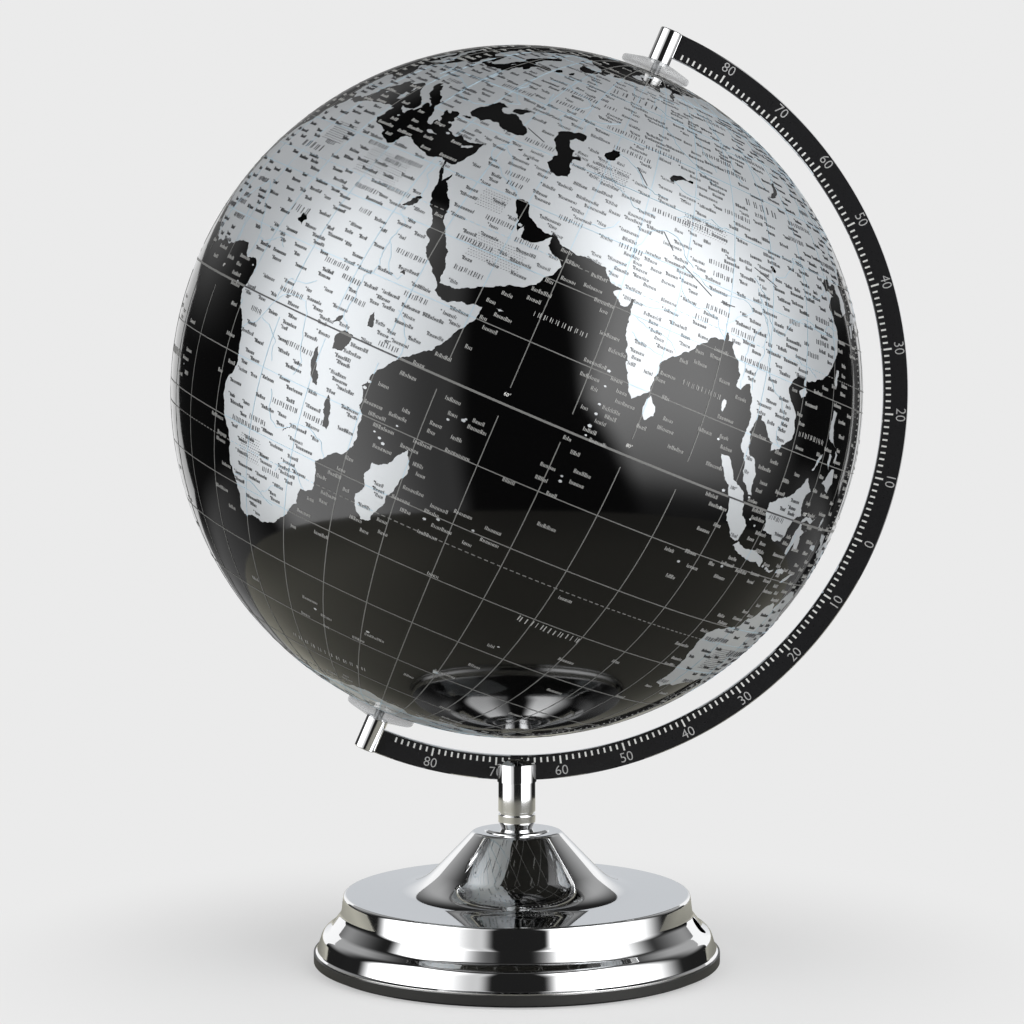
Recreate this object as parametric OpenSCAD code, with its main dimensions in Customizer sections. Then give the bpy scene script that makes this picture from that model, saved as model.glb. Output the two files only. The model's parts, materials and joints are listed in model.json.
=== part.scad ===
// Desktop globe on a stand. Millimetres.
// The origin is the centre of the foot pad's underside, on the desk, and +Z is up. The meridian arc lies in
// the XZ plane with its back on the +X side, the axle leans towards +X, and -Y is the front.

/* [Globe] */
// Outer radius of the globe
globe_r = 150; // [110:1:200]
// Wall of the two half shells
shell_t = 1.6; // [1:0.1:3]
// Lean of the axle from the vertical, in degrees
axis_tilt = 23.2; // [16:0.1:30]
// Width of the band that joins the half shells
band_w = 12; // [6:1:30]
// Wall of the band
band_t = 1.2; // [0.8:0.1:3]

/* [Poles] */
// Radius of the axle rod
axle_r = 2; // [1.5:0.1:3]
// Radial clearance of what runs on the rod
axle_gap = 0.05; // [0.02:0.01:0.1]
// Radius of a pole bush where it fills the shell's hole
bush_r = 6.2; // [5:0.1:9]
// Length of a pole bush
bush_len = 11; // [8:0.5:20]
// Radius of the bush's flange inside the shell
bush_flange_r = 11; // [9.5:0.5:16]
// Thickness of that flange
bush_flange_t = 2; // [1:0.1:3]
// Radius of a clear spacer disc
disc_r = 15.5; // [10:0.5:22]
// Thickness of a clear spacer disc
disc_t = 4.9; // [3:0.1:6]
// Rounding of the disc's rim
disc_fillet = 1.4; // [0.2:0.1:1.4]
// Gap that lets the globe turn between the discs
spin_gap = 0.3; // [0.2:0.05:0.6]

/* [Meridian arc] */
// Gap between the globe and the arc
arc_gap = 9; // [7:0.5:14]
// Width of the arc, measured outwards from the globe
arc_w = 11; // [8:0.5:16]
// Thickness of the arc
arc_t = 3; // [2:0.1:3.4]
// Chamfer along the arc's edges
arc_chamfer = 0.4; // [0.1:0.05:0.8]
// Radius of an end cap
cap_r = 5; // [4.6:0.1:7]
// Chamfer at both ends of a cap
cap_chamfer = 0.4; // [0.1:0.05:0.8]
// How deep the arc's end sits in the cap's slot
arc_in_cap = 1.5; // [0.8:0.1:1.6]
// Radius of the grub screw that holds the rod in a cap
grub_r = 1.5; // [1:0.1:2]

/* [Post] */
// Radius of the tube
tube_r = 8.15; // [7.5:0.05:12]
// Wall of the tube
tube_t = 1.3; // [0.8:0.1:2]
// Length of the tube
tube_len = 13.2; // [12:0.1:80]
// How far the head stands out past the tube
head_step = 0.5; // [0.2:0.05:2]
// Height of the head's straight side above the slot's floor
head_side_h = 7.3; // [6.5:0.1:9]
// Rise of the head's dome
head_dome_h = 2.7; // [0.5:0.1:3]
// Depth from the slot's floor to the top of the tube
head_floor_t = 0.6; // [0.3:0.1:3]
// Length of the head's spigot inside the tube
spigot_len = 8; // [6:0.5:11]
// Radius of the screw that locks the arc
lock_r = 2; // [1.5:0.1:2.5]
// Height of the foot ring below its groove
foot_ring_h = 6.4; // [5:0.1:12]
// Radius at the foot ring's underside
foot_ring_r = 6.9; // [6:0.1:8]
// Height of the taper at the foot ring's underside
foot_taper_h = 2.8; // [1:0.1:4]
// Height of the groove above the foot ring
groove_h = 1.2; // [0.6:0.1:3]
// Depth of the groove
groove_depth = 0.8; // [0.3:0.1:1.2]
// Radius of the washer under the post
washer_r = 14.3; // [11:0.1:16]
// Thickness of that washer
washer_t = 1; // [0.6:0.1:3]

/* [Base] */
// Outer radius of the base
base_r = 89.5; // [84:0.5:130]
// Height of the cover's flat top above the desk
base_h = 58.6; // [54:0.1:80]
// Radius of the cover's flat top, to its corner
top_r = 19.2; // [17:0.1:22]
// Slope of the bell, in degrees
bell_slope = 46; // [40:1:50]
// Height of the plateau's rim
plateau_h = 31; // [30:0.5:34]
// Rounding of the top's corner
top_fillet = 3.2; // [1:0.1:4]
// Rounding where the bell runs out into the plateau
bell_fillet = 28; // [10:1:34]
// Width of the stepped edge outside the plateau
edge_w = 13.2; // [12.5:0.1:14.5]
// Rounding of the plateau's rim
edge_fillet = 1.6; // [0.5:0.1:2.5]
// Height of the cove's corner above the base plate
cove_h = 16.7; // [16:0.1:18]
// Rounding of the cove
cove_fillet = 4; // [3:0.5:6]
// Height of the swell's inner corner above the base plate
swell_h = 8.4; // [7.8:0.1:9]
// Width of the swell at the foot of the cover
swell_w = 3.9; // [3.4:0.1:4.4]
// Wall of the cover
cover_t = 1.2; // [0.6:0.1:2]
// Radius of the cable hole
cable_hole_r = 4.4; // [3:0.1:4.5]
// Height of the cable hole's centre
cable_hole_z = 18.5; // [18:0.1:20]
// Direction of the cable hole, in degrees from +X
cable_hole_angle = -7; // [-60:1:60]
// Thickness of the base plate
plate_t = 4.1; // [3.5:0.1:8]
// Thickness of the foot pad
pad_t = 1.5; // [1:0.1:4]
// How far the foot pad stays inside the cover's rim
pad_margin = 3.3; // [1:0.1:10]
// How far the base plate's edge stays inside the cover's rim
plate_margin = 0; // [0:0.1:0.6]
// Height of the lip that centres the cover on the plate
lip_h = 3; // [1:0.5:5]
// Wall of that lip
lip_t = 2; // [1:0.1:3]
// Radius of the ballast ring
ballast_r = 62; // [50:1:70]
// Thickness of the ballast ring
ballast_t = 8; // [7:0.5:11]
// Radius of the nut pocket in the base plate
pocket_r = 15; // [13:0.5:20]
// Height of the pocket's roof above the plate's underside
pocket_h = 14.5; // [13:0.5:20]
// Thickness of the pocket's wall and roof
pocket_t = 3; // [2:0.5:4]

/* [Tie rod and screws] */
// Radius of the tie rod
tie_r = 4; // [3:0.5:5]
// Width of the nut across its flats
nut_flats = 13; // [12:0.5:17]
// Height of the nut
nut_h = 6.5; // [4:0.5:8]
// Radius of the washer over the nut
tie_washer_r = 12; // [10:0.5:12.5]
// Thickness of that washer
tie_washer_t = 1.5; // [1:0.1:2]
// How far the tie rod stands out of the nut
tie_end = 1.5; // [0.5:0.1:2]
// Metal left between the tie rod and the slot's floor
tie_cover = 2; // [1:0.1:3]
// Number of base screws
screw_n = 4; // [3:1:8]
// Radius of the circle they stand on
screw_circle_r = 40; // [30:1:45]
// Radius of a base screw
screw_r = 2; // [1.5:0.1:2.5]
// Radius of its head
screw_head_r = 3.5; // [3.2:0.1:5]
// Height of its head
screw_head_h = 2; // [1.5:0.1:2.4]
// How deep a base screw goes into the ballast
screw_grip = 6; // [4:0.5:6.5]

/* [Hidden] */
$fn = 96;
// Clearance between pieces of one body that fit in each other
fit = 0.05;
// Clearance round what only drops into place
loose = 0.3;
// Overrun of a cut past the face that it opens
cut = 1;
// How far the screws in the caps and in the head sit below the surface
grub_sink = 0.6;
lock_sink = 1.5;

arc_ri = globe_r + arc_gap;
arc_ro = arc_ri + arc_w;
cap_in = globe_r + spin_gap + disc_t;
cap_len = arc_ro - cap_in;
inner_r = globe_r - shell_t;

rim_z = pad_t + plate_t;
washer_z = base_h;
foot_ring_z = washer_z + washer_t;
groove_z = foot_ring_z + foot_ring_h;
tube_z = groove_z + groove_h;
head_z = tube_z + tube_len;
slot_z = head_z + head_floor_t;
centre_z = slot_z + arc_ro;
head_r = tube_r + head_step;
tube_ri = tube_r - tube_t;
plateau_r = base_r - edge_w;

roof_z = pad_t + pocket_h - pocket_t;
nut_z = roof_z - tie_washer_t - nut_h;
tie_hole_r = tie_r + loose;
tie_z = nut_z - tie_end;
tie_top = slot_z - tie_cover;

// ---- outlines ----

function turn(a, b, c) = let (p = b - a, q = c - b) atan2(p.x * q.y - p.y * q.x, p * q);

// One rounded corner at b, between a and c, as an arc of radius r with a point every 6 degrees.
function round_corner(a, b, c, r) =
    let (t = turn(a, b, c), side = sign(t), p = (b - a) / norm(b - a),
         start = b - p * r * tan(abs(t) / 2),
         middle = start + side * r * [-p.y, p.x],
         steps = max(2, ceil(abs(t) / 6)))
    [for (i = [0:steps]) let (w = t * i / steps, s = start - middle)
        middle + [s.x * cos(w) - s.y * sin(w), s.x * sin(w) + s.y * cos(w)]];

// A line through corners given as [r, z, rounding], with a point for each sharp end.
function rounded(corners) = [for (i = [0:len(corners) - 1])
    let (b = [corners[i][0], corners[i][1]], r = corners[i][2])
    each r == 0 ? [b] : round_corner([corners[i - 1][0], corners[i - 1][1]], b,
                                     [corners[i + 1][0], corners[i + 1][1]], r)];

// The unit normal on the right-hand side of the line from a to b.
function side_normal(a, b) = let (d = (b - a) / norm(b - a)) [d.y, -d.x];

// The same line moved by t to its right, which is inwards for an outline that runs out and down.
function inset(line, t) = let (last = len(line) - 1) [for (i = [0:last])
    let (n1 = side_normal(line[max(i - 1, 0)], line[max(i, 1)]),
         n2 = side_normal(line[min(i, last - 1)], line[min(i + 1, last)]))
    line[i] + t * (n1 + n2) / (1 + n1 * n2)];

function reversed(list) = [for (i = [len(list) - 1:-1:0]) list[i]];

// Where the falling line passes height z: [point, unit normal that points outwards].
function at_height(line, z) = [for (i = [0:len(line) - 2]) if (line[i].y >= z && line[i + 1].y < z)
    let (a = line[i], b = line[i + 1]) [a + (b - a) * (a.y - z) / (a.y - b.y), -side_normal(a, b)]][0];

// The cover's outside: flat top, bell, plateau, and the stepped edge with its cove and its swell.
plateau_fall = 0.06;
bell_foot_r = (base_h + top_r * tan(bell_slope) - plateau_h - plateau_r * plateau_fall)
    / (tan(bell_slope) - plateau_fall);
bell_foot_z = plateau_h + (plateau_r - bell_foot_r) * plateau_fall;
cove_lean = 1.1;
swell_fillet = 5;
rim_step = 0.8;
lip_flare = 0.9;
cove_top = [plateau_r + cove_lean, rim_z + cove_h];
swell_top = [base_r - swell_w, rim_z + swell_h];
cover_line = rounded([
    [tie_hole_r, base_h, 0],
    [top_r, base_h, top_fillet],
    [bell_foot_r, bell_foot_z, bell_fillet],
    [plateau_r, plateau_h, edge_fillet],
    [cove_top.x, cove_top.y, cove_fillet],
    [cove_top.x + (swell_top.x - cove_top.x) * 0.51, swell_top.y + (cove_top.y - swell_top.y) * 0.325, 5],
    [swell_top.x, swell_top.y, swell_fillet],
    [base_r - rim_step - lip_flare, rim_z + 1.3, 0.8],
    [base_r - rim_step, rim_z + 0.5, 0.2],
    [base_r - rim_step, rim_z, 0],
]);
cable_hole = at_height(cover_line, cable_hole_z);

// ---- shapes used more than once ----

// What follows is drawn round the axle: its own +Z is the globe's north, and the arc is on its +X side.
module on_axle(south = false) {
    translate([0, 0, centre_z]) rotate([0, axis_tilt, 0]) mirror([0, 0, south ? 1 : 0]) children();
}

module ring(r_out, r_in, h) {
    difference() {
        cylinder(r = r_out, h = h);
        translate([0, 0, -cut]) cylinder(r = r_in, h = h + 2 * cut);
    }
}

module half_shell() {
    difference() {
        sphere(r = globe_r, $fn = 180);
        sphere(r = inner_r, $fn = 180);
        translate([-globe_r - cut, -globe_r - cut, -globe_r - cut])
            cube([2 * (globe_r + cut), 2 * (globe_r + cut), globe_r + cut]);
        translate([0, 0, inner_r / 2]) cylinder(r = bush_r + fit, h = globe_r);
    }
}

module pole_bush() {
    flange_z = sqrt(pow(inner_r, 2) - pow(bush_flange_r, 2)) - fit;
    difference() {
        union() {
            translate([0, 0, globe_r - bush_len]) cylinder(r = bush_r, h = bush_len);
            translate([0, 0, flange_z - bush_flange_t]) cylinder(r = bush_flange_r, h = bush_flange_t);
        }
        translate([0, 0, globe_r - bush_len - cut]) cylinder(r = axle_r + axle_gap, h = bush_len + 2 * cut);
    }
}

module clear_disc() {
    bore = axle_r + axle_gap;
    translate([0, 0, cap_in - disc_t]) rotate_extrude() polygon(rounded([
        [bore, disc_t, 0], [disc_r, disc_t, disc_fillet], [disc_r, 0, disc_fillet], [bore, 0, 0]]));
}

module end_cap() {
    difference() {
        translate([0, 0, cap_in]) rotate_extrude() polygon([
            [axle_r + fit, 0], [cap_r - cap_chamfer, 0], [cap_r, cap_chamfer],
            [cap_r, cap_len - cap_chamfer], [cap_r - cap_chamfer, cap_len], [axle_r + fit, cap_len]]);
        translate([cap_r - arc_in_cap, -arc_t / 2 - fit, arc_ri - fit])
            cube([arc_in_cap + cut, arc_t + 2 * fit, arc_w + cut]);
        grub_hole() cylinder(r = grub_r + fit, h = cap_r + cut);
    }
}

// The grub screw's line: from the rod outwards to the back of the cap.
module grub_hole() {
    translate([0, 0, cap_in + cap_len / 2]) rotate([-90, 0, 0]) children();
}

// A headless screw that stands on z = 0, with a hexagon socket in its top.
module grub_screw(r, len) {
    difference() {
        cylinder(r = r, h = len);
        translate([0, 0, len - r]) cylinder(r = r / 2, h = r + cut, $fn = 6);
    }
}

// ---- the globe ----

module globe_north_shell() { color([0.06, 0.06, 0.07]) on_axle() half_shell(); }
module globe_south_shell() { color([0.06, 0.06, 0.07]) on_axle(south = true) half_shell(); }

module equator_band() {
    r_out = sqrt(pow(inner_r, 2) - pow(band_w / 2, 2)) - fit;
    color([0.85, 0.85, 0.83]) on_axle() translate([0, 0, -band_w / 2]) ring(r_out, r_out - band_t, band_w);
}

module north_pole_bush() { color([0.88, 0.88, 0.86]) on_axle() pole_bush(); }
module south_pole_bush() { color([0.88, 0.88, 0.86]) on_axle(south = true) pole_bush(); }

// ---- the axle and the arc ----

module north_clear_disc() { color([0.85, 0.88, 0.88, 0.4]) on_axle() clear_disc(); }
module south_clear_disc() { color([0.85, 0.88, 0.88, 0.4]) on_axle(south = true) clear_disc(); }

module axle_rod() {
    half = arc_ro - cap_chamfer;
    color([0.7, 0.7, 0.72]) on_axle() translate([0, 0, -half]) cylinder(r = axle_r, h = 2 * half);
}

module north_end_cap() { color([0.86, 0.86, 0.87]) on_axle() end_cap(); }
module south_end_cap() { color([0.86, 0.86, 0.87]) on_axle(south = true) end_cap(); }

module cap_grub_screws() {
    color([0.2, 0.2, 0.2]) for (south = [false, true]) on_axle(south) grub_hole()
        translate([0, 0, axle_r]) grub_screw(grub_r, cap_r - axle_r - grub_sink);
}

module meridian_arc() {
    half = arc_t / 2;
    c = arc_chamfer;
    color([0.09, 0.09, 0.1]) on_axle() difference() {
        rotate([90, 0, 0]) rotate([0, 0, -90]) rotate_extrude(angle = 180) polygon([
            [arc_ri + c, -half], [arc_ro - c, -half], [arc_ro, c - half], [arc_ro, half - c],
            [arc_ro - c, half], [arc_ri + c, half], [arc_ri, half - c], [arc_ri, c - half]]);
        translate([-cut, -arc_t, -arc_ro - cut])
            cube([cap_r - arc_in_cap + cut, 2 * arc_t, 2 * (arc_ro + cut)]);
    }
}

// ---- the post ----

module lock_line() {
    translate([0, 0, slot_z + head_side_h / 2]) rotate([-90, 0, 0]) children();
}

module post_head() {
    side_z = slot_z + head_side_h;
    dome_r = (pow(head_r, 2) + pow(head_dome_h, 2)) / (2 * head_dome_h);
    dome_angle = asin(head_r / dome_r);
    dome_c = side_z + head_dome_h - dome_r;
    spigot_r = tube_ri - fit;
    spigot_z = head_z - spigot_len;
    color([0.86, 0.86, 0.87]) difference() {
        rotate_extrude() polygon(concat(
            [for (i = [0:8]) let (a = dome_angle * i / 8) [dome_r * sin(a), dome_c + dome_r * cos(a)]],
            [[head_r, head_z], [spigot_r, head_z], [spigot_r, spigot_z], [0, spigot_z]]));
        translate([-head_r - cut, -arc_t / 2 - fit, slot_z])
            cube([2 * (head_r + cut), arc_t + 2 * fit, head_side_h + head_dome_h + cut]);
        translate([0, 0, spigot_z - cut]) cylinder(r = tie_r + fit, h = tie_top + fit - spigot_z + cut);
        lock_line() cylinder(r = lock_r + fit, h = head_r + cut);
    }
}

module arc_set_screw() {
    color([0.2, 0.2, 0.2]) lock_line() translate([0, 0, arc_t / 2])
        grub_screw(lock_r, head_r - arc_t / 2 - lock_sink);
}

module post_tube() {
    color([0.86, 0.86, 0.87]) translate([0, 0, tube_z]) ring(tube_r, tube_ri, tube_len);
}

module post_foot_ring() {
    bore = tie_r + fit;
    neck_r = tube_r - groove_depth;
    color([0.86, 0.86, 0.87]) translate([0, 0, foot_ring_z]) rotate_extrude() polygon(rounded([
        [bore, foot_ring_h + groove_h, 0], [neck_r, foot_ring_h + groove_h, 0], [neck_r, foot_ring_h, 0],
        [tube_r, foot_ring_h, 0.4], [tube_r, foot_taper_h, 2], [foot_ring_r, 0, 0], [bore, 0, 0]]));
}

module post_washer() {
    color([0.75, 0.75, 0.76]) translate([0, 0, washer_z]) rotate_extrude() polygon(rounded([
        [tie_r + fit, washer_t, 0], [washer_r * 0.6, washer_t, 1],
        [washer_r, washer_t * 0.3, washer_t * 0.15],
        [washer_r, 0, 0], [tie_r + fit, 0, 0]]));
}

// ---- the base ----

module base_cover() {
    point = cable_hole[0];
    normal = cable_hole[1];
    color([0.86, 0.86, 0.87]) difference() {
        rotate_extrude($fn = 180) polygon(concat(cover_line, reversed(inset(cover_line, cover_t))));
        rotate([0, 0, cable_hole_angle]) translate([point.x, 0, point.y])
            rotate([0, atan2(normal.x, normal.y), 0])
            translate([0, 0, -2 * cable_hole_r]) cylinder(r = cable_hole_r, h = 4 * cable_hole_r);
    }
}

module tie_rod() {
    color([0.7, 0.7, 0.72]) translate([0, 0, tie_z]) cylinder(r = tie_r, h = tie_top - tie_z);
}

module tie_washer() {
    color([0.7, 0.7, 0.72]) translate([0, 0, roof_z - tie_washer_t])
        ring(tie_washer_r, tie_r + fit, tie_washer_t);
}

module tie_nut() {
    color([0.7, 0.7, 0.72]) translate([0, 0, nut_z]) difference() {
        cylinder(r = nut_flats / 2 / cos(30), h = nut_h, $fn = 6);
        translate([0, 0, -cut]) cylinder(r = tie_r + fit, h = nut_h + 2 * cut);
    }
}

module round_screws() {
    for (i = [0:screw_n - 1])
        rotate([0, 0, (i + 0.5) * 360 / screw_n]) translate([screw_circle_r, 0, 0]) children();
}

module ballast_weight() {
    color([0.25, 0.25, 0.26]) difference() {
        translate([0, 0, rim_z]) ring(ballast_r, pocket_r + pocket_t + loose, ballast_t);
        round_screws() translate([0, 0, rim_z - cut]) cylinder(r = screw_r + fit, h = screw_grip + fit + cut);
    }
}

module base_plate() {
    sink = screw_head_h + loose;
    flank_r = base_r - rim_step - lip_flare;
    wall_r = flank_r - (flank_r - swell_top.x) * (lip_h - 1.3) / (swell_h - 1.3);
    lip_r = wall_r - cover_t * 1.06 - loose;
    color([0.05, 0.05, 0.05]) difference() {
        union() {
            translate([0, 0, pad_t]) cylinder(r = base_r - plate_margin, h = plate_t, $fn = 180);
            translate([0, 0, pad_t]) cylinder(r = pocket_r + pocket_t, h = pocket_h);
            translate([0, 0, pad_t]) ring(lip_r, lip_r - lip_t, plate_t + lip_h);
        }
        translate([0, 0, pad_t - cut]) cylinder(r = pocket_r, h = roof_z - pad_t + cut);
        cylinder(r = tie_hole_r, h = pad_t + pocket_h + cut);
        round_screws() cylinder(r = screw_r + loose, h = rim_z + cut);
        round_screws() cylinder(r = screw_head_r + loose, h = pad_t + sink);
    }
}

module base_screws() {
    head_top = pad_t + loose + screw_head_h;
    color([0.7, 0.7, 0.72]) round_screws() difference() {
        union() {
            translate([0, 0, pad_t + loose]) cylinder(r = screw_head_r, h = screw_head_h);
            translate([0, 0, head_top]) cylinder(r = screw_r, h = rim_z + screw_grip - head_top);
        }
        translate([0, 0, pad_t]) cylinder(r = screw_r * 0.6, h = loose + screw_head_h * 0.7, $fn = 6);
    }
}

module foot_pad() {
    color([0.1, 0.1, 0.1]) cylinder(r = base_r - pad_margin, h = pad_t, $fn = 180);
}

globe_north_shell();
globe_south_shell();
equator_band();
north_pole_bush();
south_pole_bush();
north_clear_disc();
south_clear_disc();
axle_rod();
north_end_cap();
south_end_cap();
cap_grub_screws();
meridian_arc();
post_head();
arc_set_screw();
post_tube();
post_foot_ring();
post_washer();
base_cover();
tie_rod();
tie_washer();
tie_nut();
ballast_weight();
base_plate();
base_screws();
foot_pad();
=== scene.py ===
# A desktop globe on its stand, as it looks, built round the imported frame. Metres, with the front on -Y.
import json
import math
import random

import bmesh
import bpy
import numpy as np
from mathutils import Matrix, Vector, geometry, kdtree


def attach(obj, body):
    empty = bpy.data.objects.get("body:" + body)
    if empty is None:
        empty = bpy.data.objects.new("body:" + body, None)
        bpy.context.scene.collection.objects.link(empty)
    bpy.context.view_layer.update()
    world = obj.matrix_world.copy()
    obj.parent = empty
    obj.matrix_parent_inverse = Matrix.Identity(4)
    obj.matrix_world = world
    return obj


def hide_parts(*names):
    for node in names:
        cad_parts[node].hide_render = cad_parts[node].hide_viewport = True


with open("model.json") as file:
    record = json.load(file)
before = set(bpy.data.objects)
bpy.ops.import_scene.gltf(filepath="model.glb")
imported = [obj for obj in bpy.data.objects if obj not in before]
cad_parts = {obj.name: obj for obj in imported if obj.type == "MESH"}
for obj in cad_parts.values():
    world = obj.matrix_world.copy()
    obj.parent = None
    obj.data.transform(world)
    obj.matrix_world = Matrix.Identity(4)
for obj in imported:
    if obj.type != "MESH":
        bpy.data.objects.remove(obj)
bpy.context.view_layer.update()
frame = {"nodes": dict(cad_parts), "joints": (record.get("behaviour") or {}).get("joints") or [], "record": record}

# ---- Camera ----
# At the height of someone seated at the desk, nearly square to the meridian arc and a little above the
# globe's middle. Both turns are in degrees.
lens_mm, sensor_mm, downwards, leftwards = 105.5, 36.0, 4.189, 1.347


def placed(name, data):
    """A new object in the scene, with that mesh, curve or camera."""
    thing = bpy.data.objects.new(name, data)
    bpy.context.scene.collection.objects.link(thing)
    return thing


camera_data = bpy.data.cameras.new("desk_view")
camera_data.lens, camera_data.sensor_width = lens_mm, sensor_mm
camera = placed("desk_view", camera_data)
camera.location = (0.0286, -1.3072, 0.2948)
camera.rotation_euler = (math.radians(90 - downwards), 0, math.radians(leftwards))
bpy.context.scene.camera = camera

# ---- Globe shells ----
# Two half shells of moulded plastic, covered with a printed map: gloss black seas and satin silver land
# under one varnish. Each shell's skin is meshed along its coasts, so that land and sea are real shapes.
globe_r, shell_t, pole_hole_r = 0.1499, 0.0016, 0.0062
# The mesh's steps are in degrees. The edge of a pole's hole is hole_out degrees from the pole.
skin_step, rim_step, coast_step, coast_wobble, coast_room = 3.0, 1.5, 0.38, 0.16, 0.5
wall_turns, wall_step, hole_turns, join_tolerance, edge_within = 72, 6, 40, 1e-5, 1e-3
islet_sizes, islet_flat, polar_width, points_at_once = (0.22, 0.4), 0.7, 0.08, 500
hole_out = math.degrees(math.asin(pole_hole_r / globe_r))
spin = next(j for j in frame["joints"] if j["name"] == "globe_spin")
centre = np.array(spin["pos_m"], float)
north = np.array(spin["axis"], float) / np.linalg.norm(spin["axis"])
side = np.array([0.0, 1.0, 0.0])
level = np.cross(side, north)
# The longitude beside the arc when the globe is at rest.
arc_meridian = 150.8

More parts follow.
